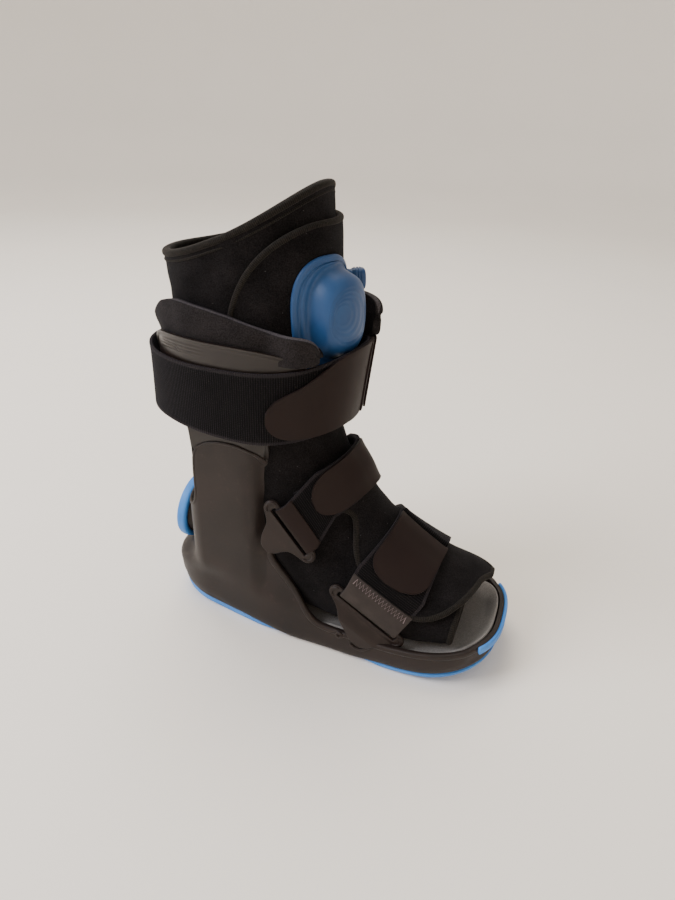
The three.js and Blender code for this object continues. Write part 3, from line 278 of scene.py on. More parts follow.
def upright_half(x):
    return UPRIGHT_WIDTH / 2 - RETURN_DEPTH * smooth(-RETURN_WIDTH, 0, x - UPRIGHT_FRONT_X)


def plan_point(place, side, upright=0.0, heel_x=HEEL_X):
    """Outline (x, y) of one side; a place below 0 or over 3 runs on to the other side."""
    place, side, upright, heel_x = np.broadcast_arrays(
        *(np.asarray(a, float) for a in (place, side, upright, heel_x)))
    toe_power = 2 / np.where(side < 0, TOE_ROUNDNESS_NEAR, TOE_ROUNDNESS_FAR)
    heel_turn = np.minimum(place, 1) * math.pi / 2
    toe_turn = np.maximum(place - 2, 0) * math.pi / 2
    heel_x = HEEL_END - (HEEL_END - heel_x) * np.abs(np.cos(heel_turn)) ** (2 / HEEL_ROUNDNESS)
    toe_x = TOE_START + TOE_ROUND_LENGTH * np.abs(np.sin(toe_turn)) ** toe_power
    x = np.where(place < 1, heel_x, np.where(place > 2, toe_x, mix(HEEL_END, TOE_START, place - 1)))
    share = np.where(place < 1, signed_power(np.sin(heel_turn), 2 / HEEL_ROUNDNESS),
                     signed_power(np.cos(toe_turn), toe_power))
    half = read_table(PLAN_PLACES, PLAN_HALVES, x)[..., 0]
    half = mix(half, upright_half(x), upright * (1 - smooth(BRACE_END_X, FLAT_END_X, x)))
    return np.stack([x, side * share * half], axis=-1)


def inset_plan(place, side, inset, upright=0.0, heel_x=HEEL_X):
    step = 0.012
    ahead = plan_point(place + step, side, upright, heel_x)
    behind = plan_point(place - step, side, upright, heel_x)
    along = ahead - behind
    along /= np.linalg.norm(along, axis=-1, keepdims=True)
    inward = np.stack([along[..., 1], -along[..., 0]], axis=-1) * np.asarray(side, float)[..., None]
    point = plan_point(place, side, upright, heel_x)
    return point + inward * np.asarray(inset, float)[..., None]


def skirt_drop(x):
    """How much further down the wall hangs over the sole: more in mid-foot, less at both ends."""
    middle = within(-55, -12, 35, 75, x)
    return 3.6 * middle - 1.3 * (1 - smooth(-75, -45, x)) - 0.5 * smooth(85, 120, x)


def shell_point(place, side, z, inset=0.0):
    """A point of the shell's outer wall, at a height."""
    place, side, z, inset = np.broadcast_arrays(*(np.asarray(a, float) for a in (place, side, z, inset)))
    rough_x = plan_point(place, side)[..., 0]
    rise = z - rocker_height(rough_x)
    nominal = np.where(z > np.maximum(22, rocker_height(rough_x) + 10), z, np.minimum(rise, 22))
    row = read_table(WALL_HEIGHTS, WALL_ROWS, np.clip(nominal, 0, 210))
    tuck = np.interp(rise + skirt_drop(rough_x), [4.9, 6.4, 9, 14], [3.5, 1.9, 0.7, 0])
    point = inset_plan(place, side, inset + tuck, row[..., 0], row[..., 1])
    return np.concatenate([point, z[..., None]], axis=-1)


def place_at(x, z=200.0):
    """The plan's place for an x on the straight side or the heel."""
    x, z = np.broadcast_arrays(np.asarray(x, float), np.asarray(z, float))
    heel_x = read_table(WALL_HEIGHTS, WALL_ROWS, z)[..., 1]
    share = clamp((HEEL_END - x) / (HEEL_END - heel_x)) ** (HEEL_ROUNDNESS / 2)
    toe = clamp((x - TOE_START) / TOE_ROUND_LENGTH) ** (TOE_ROUNDNESS_NEAR / 2)
    straight = 1 + (x - HEEL_END) / (TOE_START - HEEL_END)
    return np.where(x < HEEL_END, np.arccos(share) * 2 / math.pi,
                    np.where(x > TOE_START, 2 + np.arcsin(toe) * 2 / math.pi, straight))


def rim_height(x):
    return mix(RIM_HEIGHT, TOE_RIM_HEIGHT, smooth(FLAT_END_X, TOE_X, x))


# Meshes


def mapped(columns, rows, place):
    """A grid laid on a surface: place(u, v), each from 0 to 1, gives points in millimetres.
    Its UV map is in metres along and across, and the attribute edge is the distance to a side edge."""
    bm = bmesh.new()
    uv_layer = bm.loops.layers.uv.new("UVMap")
    bmesh.ops.create_grid(bm, x_segments=columns, y_segments=rows, size=0.5)
    edge_layer = bm.verts.layers.float.new("edge")
    bm.verts.index_update()
    flat = np.array([vert.co[:2] for vert in bm.verts]) + 0.5
    column, row = step_of(flat[:, 0], columns), step_of(flat[:, 1], rows)
    spots = place(column / columns, row / rows) * MM
    table = np.zeros((columns + 1, rows + 1, 3))
    table[column, row] = spots
    along = np.concatenate([[0], np.cumsum(np.linalg.norm(np.diff(table, axis=0), axis=2).mean(axis=1))])
    across = np.concatenate([[0], np.cumsum(np.linalg.norm(np.diff(table, axis=1), axis=2).mean(axis=0))])
    for vert, spot, r in zip(bm.verts, spots, row):
        vert.co = spot
        vert[edge_layer] = min(across[r], across[-1] - across[r])
    for face in bm.faces:
        for corner in face.loops:
            i = corner.vert.index
            corner[uv_layer].uv = (along[column[i]], across[row[i]])
    bmesh.ops.remove_doubles(bm, verts=bm.verts, dist=1e-6)
    return bm


def grid_place(table):
    """place() for mapped from a table of points already worked out."""
    columns, rows = table.shape[0] - 1, table.shape[1] - 1
    return lambda u, v: table[step_of(u, columns), step_of(v, rows)]


def join(meshes):
    """Puts several bmeshes in the first one."""
    first = meshes[0]
    for other in meshes[1:]:
        spare = bpy.data.meshes.new("spare")
        other.to_mesh(spare)
        other.free()
        first.from_mesh(spare)
        bpy.data.meshes.remove(spare)
    return first


def new_object(name, bm, material):
    """A smooth-shaded object at the origin, made of a bmesh."""
    mesh = bpy.data.meshes.new(name)
    bm.to_mesh(mesh)
    bm.free()
    mesh.polygons.foreach_set("use_smooth", [True] * len(mesh.polygons))
    made = bpy.data.objects.new(name, mesh)
    bpy.context.scene.collection.objects.link(made)
    made.data.materials.append(material)
    return made


def piece(name, bm, material, nodes, wall=0.0, offset=0.0, edge=0.0, segments=3, closed=False,
          even=True):
    """Makes the object: wall is its thickness and edge the rounding of its edges, in millimetres."""
    if closed:
        bmesh.ops.recalc_face_normals(bm, faces=bm.faces)
    made = new_object(name, bm, material)
    if wall:
        thicken = made.modifiers.new("wall", "SOLIDIFY")
        thicken.thickness, thicken.offset, thicken.use_even_offset = wall * MM, offset, even
    if edge:
        rounding = made.modifiers.new("edge", "BEVEL")
        rounding.width, rounding.segments, rounding.limit_method = edge * MM, segments, "ANGLE"
        rounding.angle_limit = math.radians(50)
    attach(made, "root")
    if nodes:
        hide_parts(*nodes)
    return made


def face_outward(bm, centre):
    """Turns an open wall's faces away from an upright axis through the centre (x, y), in metres."""
    bm.normal_update()
    total = sum(face.calc_area() * face.normal.xy.dot(face.calc_center_median().xy - Vector(centre))
                for face in bm.faces)
    if total < 0:
        bmesh.ops.reverse_faces(bm, faces=bm.faces)


def tape(on, inward_to, outward_to, depth, lift, half_depth, half_lift, looped, taper=0.0, around=14):
    """A rounded strip along an edge. on is the edge, inward_to a line just inside it on the sheet and
    outward_to one just off it. depth and lift shift its middle, taper rounds its ends off. Each of the
    four sizes is one number or one for every point."""
    count = len(on)
    shares = np.linspace(0, 1, count)
    ahead = np.roll(on, -1, axis=0) - np.roll(on, 1, axis=0)
    if looped:
        ahead[0] = ahead[-1] = on[1] - on[-2]
    else:
        ahead[0], ahead[-1] = on[1] - on[0], on[-1] - on[-2]
    ahead /= np.linalg.norm(ahead, axis=1, keepdims=True)
    outward = outward_to - on
    outward -= ahead * (outward * ahead).sum(axis=1, keepdims=True)
    outward /= np.linalg.norm(outward, axis=1, keepdims=True)
    inward = inward_to - on
    inward -= ahead * (inward * ahead).sum(axis=1, keepdims=True)
    inward -= outward * (inward * outward).sum(axis=1, keepdims=True)
    inward /= np.linalg.norm(inward, axis=1, keepdims=True)
    sizes = np.ones(count)
    if taper:
        from_end = np.minimum(shares, 1 - shares) / taper
        sizes = np.sqrt(np.clip(1 - (1 - np.minimum(from_end, 1)) ** 2, 0, 1))
    depth, lift, half_depth, half_lift = (np.broadcast_to(a, count) for a in (depth, lift, half_depth,
                                                                              half_lift))

    def place(u, v):
        i = step_of(u, count - 1)
        turn = 2 * math.pi * v
        deep = depth[i] + half_depth[i] * sizes[i] * signed_power(np.cos(turn), 0.8)
        high = lift[i] + half_lift[i] * sizes[i] * signed_power(np.sin(turn), 0.8)
        return on[i] + inward[i] * deep[:, None] + outward[i] * high[:, None]

    return mapped(count - 1, around, place)


# Materials


def linear(hex_colour, alpha=1.0):
    """An sRGB hex value as linear red, green, blue and alpha."""
    channels = [int(hex_colour[k:k + 2], 16) / 255 for k in (1, 3, 5)]
    return (*(c / 12.92 if c <= 0.04045 else ((c + 0.055) / 1.055) ** 2.4 for c in channels), alpha)


def add(tree, kind, inputs=None, **settings):
    """Adds a node with its settings; an input is a value or another node's output."""
    node = tree.nodes.new(kind)
    for key, value in settings.items():
        setattr(node, key, value)
    for key, value in (inputs or {}).items():
        if isinstance(value, bpy.types.NodeSocket):
            tree.links.new(value, node.inputs[key])
        else:
            node.inputs[key].default_value = value
    return node


def begin(name, **shader):
    """A new material with its shader's even values, and the object's own coordinates and UV map."""
    material = bpy.data.materials.new(name)
    material.use_nodes = True
    tree = material.node_tree
    for key, value in shader.items():
        tree.nodes["Principled BSDF"].inputs[key.replace("_", " ")].default_value = value
    where = add(tree, "ShaderNodeTexCoord")
    return material, tree, where.outputs["Object"], where.outputs["UV"]


def finished(material, colour, bump=None, gloss=None):
    """Joins a material's colour, bump and gloss patterns to its shader."""
    tree = material.node_tree
    for pattern, socket in ((colour, "Base Color"), (bump, "Normal"), (gloss, "Roughness")):
        if pattern is not None:
            tree.links.new(pattern, tree.nodes["Principled BSDF"].inputs[socket])
    return material


def ribs(tree, distance, spacing):
    """A wave with a crest at each spacing, in millimetres, along a distance in metres."""
    turn = add(tree, "ShaderNodeMath", {0: distance, 1: 2 * math.pi / (spacing * MM)}, operation="MULTIPLY")
    return add(tree, "ShaderNodeMath", {0: turn.outputs[0]}, operation="SINE").outputs[0]


def moulded_nylon():
    """Injection-moulded glass-filled nylon: satin, a fine spark-eroded grain, rubbed paler in patches."""
    material, tree, place, _ = begin("moulded_nylon", IOR=1.5, Specular_IOR_Level=0.26)
    clouds = add(tree, "ShaderNodeTexNoise", {"Vector": place, "Scale": 1000 / 55, "Detail": 4.0})
    scuffs = add(tree, "ShaderNodeTexNoise", {"Vector": place, "Scale": 1000 / 7, "Detail": 6.0,
                                              "Roughness": 0.7})
    rubbed = add(tree, "ShaderNodeMapRange", {"Value": scuffs.outputs[0], "From Min": 0.56,
                                              "From Max": 0.74})
    tone = add(tree, "ShaderNodeMapRange", {"Value": clouds.outputs[0], "From Min": 0.35, "From Max": 0.65})
    base = add(tree, "ShaderNodeMix", {"Factor": tone.outputs[0], "A": linear("#191311"),
                                       "B": linear("#241c19")},
               data_type="RGBA")
    worn = add(tree, "ShaderNodeMath", {0: rubbed.outputs[0], 1: 0.35}, operation="MULTIPLY")
    colour = add(tree, "ShaderNodeMix",
                 {"Factor": worn.outputs[0], "A": base.outputs["Result"], "B": linear("#3a302b")},
                 data_type="RGBA")
    gloss = add(tree, "ShaderNodeMapRange", {"Value": scuffs.outputs[0], "To Min": 0.36, "To Max": 0.6})
    grain = add(tree, "ShaderNodeTexNoise", {"Vector": place, "Scale": 1000 / 0.9, "Detail": 2.0})
    heights = add(tree, "ShaderNodeMath", {0: grain.outputs[0], 1: 0.6, 2: scuffs.outputs[0]},
                  operation="MULTIPLY_ADD")
    bump = add(tree, "ShaderNodeBump", {"Height": heights.outputs[0], "Strength": 0.35,
                                        "Distance": 0.08 * MM})
    return finished(material, colour.outputs["Result"], bump.outputs[0], gloss.outputs[0])


def pressed_sheet():
    """Polyethylene sheet, pressed glossy: soft streaks along the leg's curve and a slightly wavy shine."""
    material, tree, place, uv = begin("pressed_sheet", IOR=1.51, Specular_IOR_Level=0.36)
    long_uv = add(tree, "ShaderNodeMapping", {"Vector": uv, "Scale": (8, 30, 1)})
    streaks = add(tree, "ShaderNodeTexNoise", {"Vector": long_uv.outputs[0], "Scale": 1.0, "Detail": 3.0})
    colour = add(tree, "ShaderNodeMix",
                 {"Factor": streaks.outputs[0], "A": linear("#17110e"), "B": linear("#1d1613")},
                 data_type="RGBA")
    gloss = add(tree, "ShaderNodeMapRange", {"Value": streaks.outputs[0], "To Min": 0.34, "To Max": 0.42})
    waves = add(tree, "ShaderNodeTexNoise", {"Vector": place, "Scale": 1000 / 22, "Detail": 1.0})
    bump = add(tree, "ShaderNodeBump", {"Height": waves.outputs[0], "Strength": 0.4, "Distance": 1.2 * MM})
    return finished(material, colour.outputs["Result"], bump.outputs[0], gloss.outputs[0])


def cast_rubber(name, dark, light, rough_min, rough_max):
    """Cast elastomer: even and matt, with a faint bloom that lightens it in patches."""
    material, tree, place, _ = begin(name, IOR=1.5, Specular_IOR_Level=0.35)
    bloom = add(tree, "ShaderNodeTexNoise", {"Vector": place, "Scale": 1000 / 30, "Detail": 5.0,
                                             "Roughness": 0.6})
    tone = add(tree, "ShaderNodeMapRange", {"Value": bloom.outputs[0], "From Min": 0.3, "From Max": 0.7})
    colour = add(tree, "ShaderNodeMix", {"Factor": tone.outputs[0], "A": linear(dark), "B": linear(light)},
                 data_type="RGBA")
    gloss = add(tree, "ShaderNodeMapRange",
                {"Value": bloom.outputs[0], "To Min": rough_min, "To Max": rough_max})
    skin = add(tree, "ShaderNodeTexNoise", {"Vector": place, "Scale": 1000 / 1.1, "Detail": 3.0})
    bump = add(tree, "ShaderNodeBump", {"Height": skin.outputs[0], "Strength": 0.25, "Distance": 0.08 * MM})
    return finished(material, colour.outputs["Result"], bump.outputs[0], gloss.outputs[0])


def brushed_loop(name, dark, light, lint, patchy=0.6):
    """Brushed loop fabric laminated on foam: a short nap that holds lint, drawn 1 mm coarse to show."""
    material, tree, place, _ = begin(name, Roughness=0.95, Specular_IOR_Level=0.06, Sheen_Weight=0.1,
                                     Sheen_Roughness=0.45, Sheen_Tint=linear("#8a8a92"))
    nap = add(tree, "ShaderNodeTexNoise", {"Vector": place, "Scale": 1000 / 1.0, "Detail": 4.0,
                                           "Roughness": 0.75})
    patches = add(tree, "ShaderNodeTexNoise", {"Vector": place, "Scale": 1000 / 24, "Detail": 3.0})
    evened = add(tree, "ShaderNodeMix", {"Factor": patchy, "A": 0.5, "B": patches.outputs[0]})
    both = add(tree, "ShaderNodeMath", {0: nap.outputs[0], 1: evened.outputs[0]}, operation="MULTIPLY")
    tone = add(tree, "ShaderNodeMapRange", {"Value": both.outputs[0], "From Min": 0.16, "From Max": 0.34})
    colour = add(tree, "ShaderNodeMix", {"Factor": tone.outputs[0], "A": linear(dark), "B": linear(light)},
                 data_type="RGBA")
    specks = add(tree, "ShaderNodeTexVoronoi", {"Vector": place, "Scale": 1000 / 5.5})
    small = add(tree, "ShaderNodeMapRange",
                {"Value": specks.outputs["Distance"], "From Min": 0.05, "From Max": 0.09, "To Min": 1.0,
                 "To Max": 0.0})
    some = add(tree, "ShaderNodeMath", {0: specks.outputs["Color"], 1: 0.72}, operation="GREATER_THAN")
    linted = add(tree, "ShaderNodeMath", {0: small.outputs[0], 1: some.outputs[0]}, operation="MULTIPLY")
    final = add(tree, "ShaderNodeMix", {"Factor": linted.outputs[0], "A": colour.outputs["Result"],
                                        "B": linear(lint)},
                data_type="RGBA")
    bump = add(tree, "ShaderNodeBump", {"Height": both.outputs[0], "Strength": 0.7, "Distance": 0.6 * MM})
    return finished(material, final.outputs["Result"], bump.outputs[0])


def bound_tape():
    """Knitted binding tape, brushed like the cloth it binds: a soft nap over fine knit ribs."""
    material, tree, place, uv = begin("bound_tape", Roughness=0.9, Specular_IOR_Level=0.1,
                                      Sheen_Weight=0.14, Sheen_Roughness=0.4, Sheen_Tint=linear("#a39d98"))
    split = add(tree, "ShaderNodeSeparateXYZ", {"Vector": uv})
    knit = ribs(tree, split.outputs[0], 1.4)
    fuzz = add(tree, "ShaderNodeTexNoise", {"Vector": place, "Scale": 1000 / 1.1, "Detail": 3.0})
    both = add(tree, "ShaderNodeMath", {0: knit, 1: 0.18, 2: fuzz.outputs[0]},
               operation="MULTIPLY_ADD")
    tone = add(tree, "ShaderNodeMapRange", {"Value": both.outputs[0], "From Min": 0.25, "From Max": 0.8})
    colour = add(tree, "ShaderNodeMix", {"Factor": tone.outputs[0], "A": linear("#0e0d0c"),
                                         "B": linear("#262320")},
                 data_type="RGBA")
    bump = add(tree, "ShaderNodeBump", {"Height": both.outputs[0], "Strength": 0.6, "Distance": 0.25 * MM})
    return finished(material, colour.outputs["Result"], bump.outputs[0])


def loop_webbing():
    """Woven loop webbing: rows of tiny loops across the strap, 1.9 mm apart, and a flat woven selvedge."""
    material, tree, place, uv = begin("loop_webbing", Roughness=0.9, Specular_IOR_Level=0.12,
                                      Sheen_Weight=0.08, Sheen_Roughness=0.4, Sheen_Tint=linear("#8885a0"))
    split = add(tree, "ShaderNodeSeparateXYZ", {"Vector": uv})
    rows = add(tree, "ShaderNodeMapRange",
               {"Value": ribs(tree, split.outputs[0], 1.9), "From Min": -0.6, "From Max": 0.9})
    loops = add(tree, "ShaderNodeMapRange", {"Value": ribs(tree, split.outputs[1], 1.5), "From Min": -1.0,
                                             "From Max": 0.6, "To Min": 0.35, "To Max": 1.0})
    pile = add(tree, "ShaderNodeMath", {0: rows.outputs[0], 1: loops.outputs[0]}, operation="MULTIPLY")
    fuzz = add(tree, "ShaderNodeTexNoise", {"Vector": place, "Scale": 1000 / 1.0, "Detail": 3.0})
    fuzzy = add(tree, "ShaderNodeMapRange", {"Value": fuzz.outputs[0], "From Min": 0.3, "From Max": 0.7,
                                             "To Min": 0.5, "To Max": 1.3})
    woolly = add(tree, "ShaderNodeMath", {0: pile.outputs[0], 1: fuzzy.outputs[0]}, operation="MULTIPLY")
    edge = add(tree, "ShaderNodeAttribute", attribute_name="edge")
    selvedge = add(tree, "ShaderNodeMapRange", {"Value": edge.outputs["Fac"], "From Min": 2.2 * MM,
                                                "From Max": 2.8 * MM, "To Min": 1.0, "To Max": 0.0})
    colour = add(tree, "ShaderNodeMix", {"Factor": woolly.outputs[0], "A": linear("#010101"),
                                         "B": linear("#1a1719")},
                 data_type="RGBA")
    final = add(tree, "ShaderNodeMix",
                {"Factor": selvedge.outputs[0], "A": colour.outputs["Result"], "B": linear("#211e20")},
                data_type="RGBA")
    bump = add(tree, "ShaderNodeBump", {"Height": woolly.outputs[0], "Strength": 0.8, "Distance": 0.5 * MM})
    return finished(material, final.outputs["Result"], bump.outputs[0])


def webbing_back():
    """The flat woven back of the webbing: fine cords along it, 1.2 mm apart, polished by wear."""
    material, tree, place, uv = begin("webbing_back", Roughness=0.7, Specular_IOR_Level=0.3)
    split = add(tree, "ShaderNodeSeparateXYZ", {"Vector": uv})
    cords, picks = ribs(tree, split.outputs[1], 1.2), ribs(tree, split.outputs[0], 1.6)
    weave = add(tree, "ShaderNodeMath", {0: cords, 1: picks}, operation="MULTIPLY")
    worn = add(tree, "ShaderNodeTexNoise", {"Vector": place, "Scale": 1000 / 9, "Detail": 4.0})
    tone = add(tree, "ShaderNodeMath", {0: weave.outputs[0], 1: 0.22, 2: worn.outputs[0]},
               operation="MULTIPLY_ADD")
    colour = add(tree, "ShaderNodeMix", {"Factor": tone.outputs[0], "A": linear("#1a1615"),
                                         "B": linear("#372f2c")},
                 data_type="RGBA")
    bump = add(tree, "ShaderNodeBump", {"Height": weave.outputs[0], "Strength": 0.5, "Distance": 0.15 * MM})
    return finished(material, colour.outputs["Result"], bump.outputs[0])


def hook_strip():
    """Hook strap end, seen from its smooth back: calendered nylon weave, a dull brown sheen."""
    material, tree, place, _ = begin("hook_strip", IOR=1.5, Specular_IOR_Level=0.16)
    weave = add(tree, "ShaderNodeTexNoise", {"Vector": place, "Scale": 1000 / 0.8, "Detail": 2.0})
    patches = add(tree, "ShaderNodeTexNoise", {"Vector": place, "Scale": 1000 / 30, "Detail": 3.0})
    colour = add(tree, "ShaderNodeMix", {"Factor": patches.outputs[0], "A": linear("#150c0a"),
                                         "B": linear("#1d110e")},
                 data_type="RGBA")
    gloss = add(tree, "ShaderNodeMapRange", {"Value": patches.outputs[0], "To Min": 0.5, "To Max": 0.68})
    bump = add(tree, "ShaderNodeBump", {"Height": weave.outputs[0], "Strength": 0.3, "Distance": 0.12 * MM})
    return finished(material, colour.outputs["Result"], bump.outputs[0], gloss.outputs[0])


def sewing_thread():
    """Bonded polyester thread, faded brown-pink."""
    material, tree, place, _ = begin("sewing_thread", Roughness=0.6)
    twist = add(tree, "ShaderNodeTexNoise", {"Vector": place, "Scale": 1000 / 0.7, "Detail": 1.0})
    colour = add(tree, "ShaderNodeMix", {"Factor": twist.outputs[0], "A": linear("#655859"),
                                         "B": linear("#978586")},
                 data_type="RGBA")
    return finished(material, colour.outputs["Result"])


def studio_floor():
    """Matt painted board, pale and warm."""
    material, tree, place, _ = begin("studio_floor", Roughness=0.75)
    mottle = add(tree, "ShaderNodeTexNoise", {"Vector": place, "Scale": 3.0, "Detail": 3.0})
    colour = add(tree, "ShaderNodeMix", {"Factor": mottle.outputs[0], "A": linear("#f5efe6"),
                                         "B": linear("#f9f4ec")},
                 data_type="RGBA")
    return finished(material, colour.outputs["Result"])


NYLON = moulded_nylon()
SHEET = pressed_sheet()
SOLE_BLUE = cast_rubber("sole_rubber", "#2f74c2", "#4489d6", 0.42, 0.6)
PUMP_BLUE = cast_rubber("pump_rubber", "#163a66", "#204673", 0.36, 0.5)
FELT = brushed_loop("brushed_felt", "#030303", "#1e1c1d", "#3a3838", 0.4)
# The pads' felt is the bootie's cloth drawn lighter: painted light, for the pads are lit from above
LIT_PAD_FELT = brushed_loop("pad_felt_painted_light", "#0e0d0e", "#2d2a2b", "#4c4a4b", 0.3)
INSOLE = brushed_loop("insole_felt", "#6c6967", "#8b8885", "#a3a09e", 0.25)
# The pads' cut edge: foam grey with a painted highlight, as the top edge catches the light
FOAM_EDGE_HIGHLIGHT = brushed_loop("cut_foam_painted_highlight", "#2a282a", "#555154", "#615d60", 0.3)
TAPE = bound_tape()
WEBBING = loop_webbing()
WEBBING_BACK = webbing_back()
HOOK = hook_strip()
THREAD = sewing_thread()


# Sole


def sole_plate(places, rows, extra=lambda x: 0 * x):
    """A plate over the plan. Rows go round its section, from the middle of the underside to the middle
    of the top: (share of the way out, inset, rise function of x)."""
    ring = [(-share, inset, rise) for share, inset, rise in rows]
    ring += [(share, inset, rise) for share, inset, rise in reversed(rows[1:-1])] + [ring[0]]

    def place(u, v):
        spots = places[step_of(u, len(places) - 1)]
        k = step_of(v, len(ring) - 1)
        shares = np.array([row[0] for row in ring])[k]
        insets = np.array([row[1] for row in ring], float)[k]
        insets = insets + extra(plan_point(spots, NEAR)[:, 0])
        near = inset_plan(spots, np.full(len(spots), NEAR), insets)
        far = inset_plan(spots, np.full(len(spots), FAR), insets)
        level = near + (far - near) * ((shares + 1) / 2)[:, None]
        rises = np.stack([row[2](level[:, 0]) for row in ring])
        z = rocker_height(level[:, 0]) + rises[k, np.arange(len(k))]
        return np.column_stack([level, z])

    return mapped(len(places) - 1, len(ring) - 1, place)


def flat(rise):
    """A rise over the rocker that is the same all over a plate."""
    return lambda x: np.full(len(x), float(rise))


def plan_places(heel, straight, toe):
    return np.concatenate([np.linspace(0, 1, heel, endpoint=False),
                           np.linspace(1, 2, straight, endpoint=False),
                           np.linspace(2, 3, toe + 1)])


def make_sole():
    groove_gap, groove_width, groove_depth = 13.0, 4.0, 1.6

    def tread(x):
        from_groove = np.abs((x + 400) % groove_gap - groove_gap / 2)
        return groove_depth * (1 - smooth(groove_width / 2 - 0.9, groove_width / 2 + 0.7, from_groove))

    level = [lambda x, r=r: np.full(len(x), float(r)) for r in (0, 0.4, 1.4, 3, OUTSOLE_CORE)]
    def edge_top(x):
        return OUTSOLE_EDGE + np.maximum(0, -skirt_drop(x))

    rows = [(0, 12, tread), (0.5, 12, tread), (0.94, 12, tread), (1, 12, level[0]), (1, 8, level[0]),
            (1, 5, level[1]), (1, 3, level[2]), (1, 2.2, level[3]), (1, 2.2, edge_top), (1, 6.4, edge_top),
            (1, 6.6, level[4]), (0.5, 8, level[4]), (0, 8, level[4])]
    sole = sole_plate(plan_places(26, 128, 44), rows, extra=lambda x: 0.9 * np.maximum(0, skirt_drop(x)))
    start = float(place_at(BUMPER_START_X))
    near = np.linspace(start, 3, 34)
    places = np.concatenate([near, 6 - near[-2::-1]])
    x = plan_point(places, NEAR)[:, 0]
    bumper_height = 7.8
    high = rim_height(x) + 1.2
    low = high - bumper_height

    def toe_line(inset, z):
        near_line = shell_point(near, NEAR, z[:len(near)], inset)
        far_line = shell_point(near, FAR, z[len(near) - 1:][::-1], inset)
        return np.concatenate([near_line, far_line[-2::-1]])

    middle = (low + high) / 2
    bumper = tape(toe_line(0.4, middle), toe_line(0.4, middle - 1), toe_line(-1, middle), 0, 0.5,
                  (high - low) / 2, 1.8, False, taper=0.014, around=22)
    piece("outsole_tread", sole, SOLE_BLUE, ["outsole"], closed=True)
    piece("toe_bumper", bumper, SOLE_BLUE, ["outsole"], closed=True)


def make_insole():
    def turned_up(rise, extra):
        return lambda x: rise + extra * (smooth(95, 150, x) + within(-5, 22, 50, 85, x))

    rows = [(0, 8, flat(FOOTBED_BOTTOM)), (0.9, 8, flat(FOOTBED_BOTTOM)), (1, 8, flat(FOOTBED_BOTTOM)),
            (1, 7.2, turned_up(FOOTBED_BOTTOM + 1.4, 1.5)), (1, 7, turned_up(FOOTBED_TOP - 1.6, 4)),
            (1, 7.7, turned_up(FOOTBED_TOP - 0.4, 5)), (1, 9, turned_up(FOOTBED_TOP, 4.5)),
            (1, 12, turned_up(FOOTBED_TOP, 2)), (1, 17, turned_up(FOOTBED_TOP, 0)),
            (0.6, 17, flat(FOOTBED_TOP)), (0, 17, flat(FOOTBED_TOP))]
    insole = piece("insole", sole_plate(plan_places(22, 50, 34), rows), INSOLE, ["footbed"],
                   closed=True)


# Shell


def shell_edge():
    """The wall's upper edge from the toe to the heel: (place in the plan, height, place of its base)."""
    rim_x = np.linspace(3, float(place_at(30)), 60)
    rim = [(p, float(rim_height(plan_point(p, NEAR)[0])), p) for p in rim_x]
    rows = []
    for x, z, base_x in ((18, 28.4, 18), (8, 31, 8), (0, 38.5, 0), (-10, 49, -9), (-20, 59.8, -18),
                         (-30, 70.5, -26),
                         (-38, 80, -33), (-42, 88, -37), (-43, 98, -41), (-43, 112, -46), (-43, 126, -51),
                         (-43, 140, -56), (-43, 154, -61), (-43, 164, -64), (-44.5, 174, -67),
                         (-50, 181.5, -71),
                         (-58, 185.5, -75), (-68, 187.7, -79), (-77, 188, -83), (-87, 187.3, -87),
                         (-97, 184.5, -91),
                         (-105, 179.5, -95), (-110, 170, -98), (-111, 158, -101), (-111, 145, -104),
                         (-111, 133, -107), (-113, 123.5, -112), (-118, 117.6, -119), (-124, 116, -126)):
        rows.append((float(place_at(x, z)), z, float(place_at(base_x, z))))
    cup = [(rows[-1][0] * t, HEEL_CUP_Z, rows[-1][2] * t) for t in np.linspace(0.9, 0, 12)]
    table = np.array(rim + rows + cup)
    scale = np.array([110.0, 1.0, 110.0])
    line = spline(table * scale, 250) / scale
    line[0], line[-1] = table[0], table[-1]
    return line


EDGE = shell_edge()
# Heights over the rocker of the wall's lowest rows, then shares of the way up to its edge
SKIRT_RISES = [4.9, 5.6, 6.6, 8, 10, 13, 17]
WALL_SHARES = np.concatenate([np.linspace(0, 0.9, 34), [0.93, 0.955, 0.975, 0.99, 1.0]])


def front_corner(x, z):
    """How far the upright's face turns in at its front edge."""
    return 7 * smooth(-61, -42, x) ** 1.4 * within(76, 98, 168, 184, z)


def wall_point(k, j, side):
    """Point of the outer wall for a column k of the edge and a row j."""
    edge_place, edge_z, base_place = EDGE[k].T
    base_x = plan_point(base_place, NEAR)[:, 0]
    base_z = np.maximum(22, rocker_height(base_x) + 10)
    skirt = j < len(SKIRT_RISES)
    rises = np.array(SKIRT_RISES)[np.minimum(j, len(SKIRT_RISES) - 1)]
    lowest = rocker_height(base_x) + SKIRT_RISES[0] - skirt_drop(base_x)
    low_z = mix(lowest, base_z, (rises - SKIRT_RISES[0]) / (22 - SKIRT_RISES[0]))
    share = WALL_SHARES[np.clip(j - len(SKIRT_RISES), 0, len(WALL_SHARES) - 1)]
    place = np.where(skirt, base_place, mix(base_place, edge_place, share))
    z = np.where(skirt, low_z, mix(base_z, edge_z, share))
    x = plan_point(place, NEAR)[:, 0]
    sag = 0.7 * np.exp(-((z - 62) / 30) ** 2) * within(-120, -80, -40, 0, x)
    post = 1.4 * np.exp(-((x + 59) / 2.6) ** 2) * within(95, 108, 172, 182, z)
    crease = 0.8 * np.exp(-((z - 13 + 0.1 * (x + 110)) / 1.7) ** 2) * within(-136, -124, -96, -84, x)
    below_rim = rim_height(x) - z
    toe_dent = 1.6 * smooth(BUMPER_START_X - 10, BUMPER_START_X, x) * (1 - smooth(10, 17, below_rim))
    return shell_point(place, side, z, sag + post * 0.7 + crease + front_corner(x, z) + toe_dent)


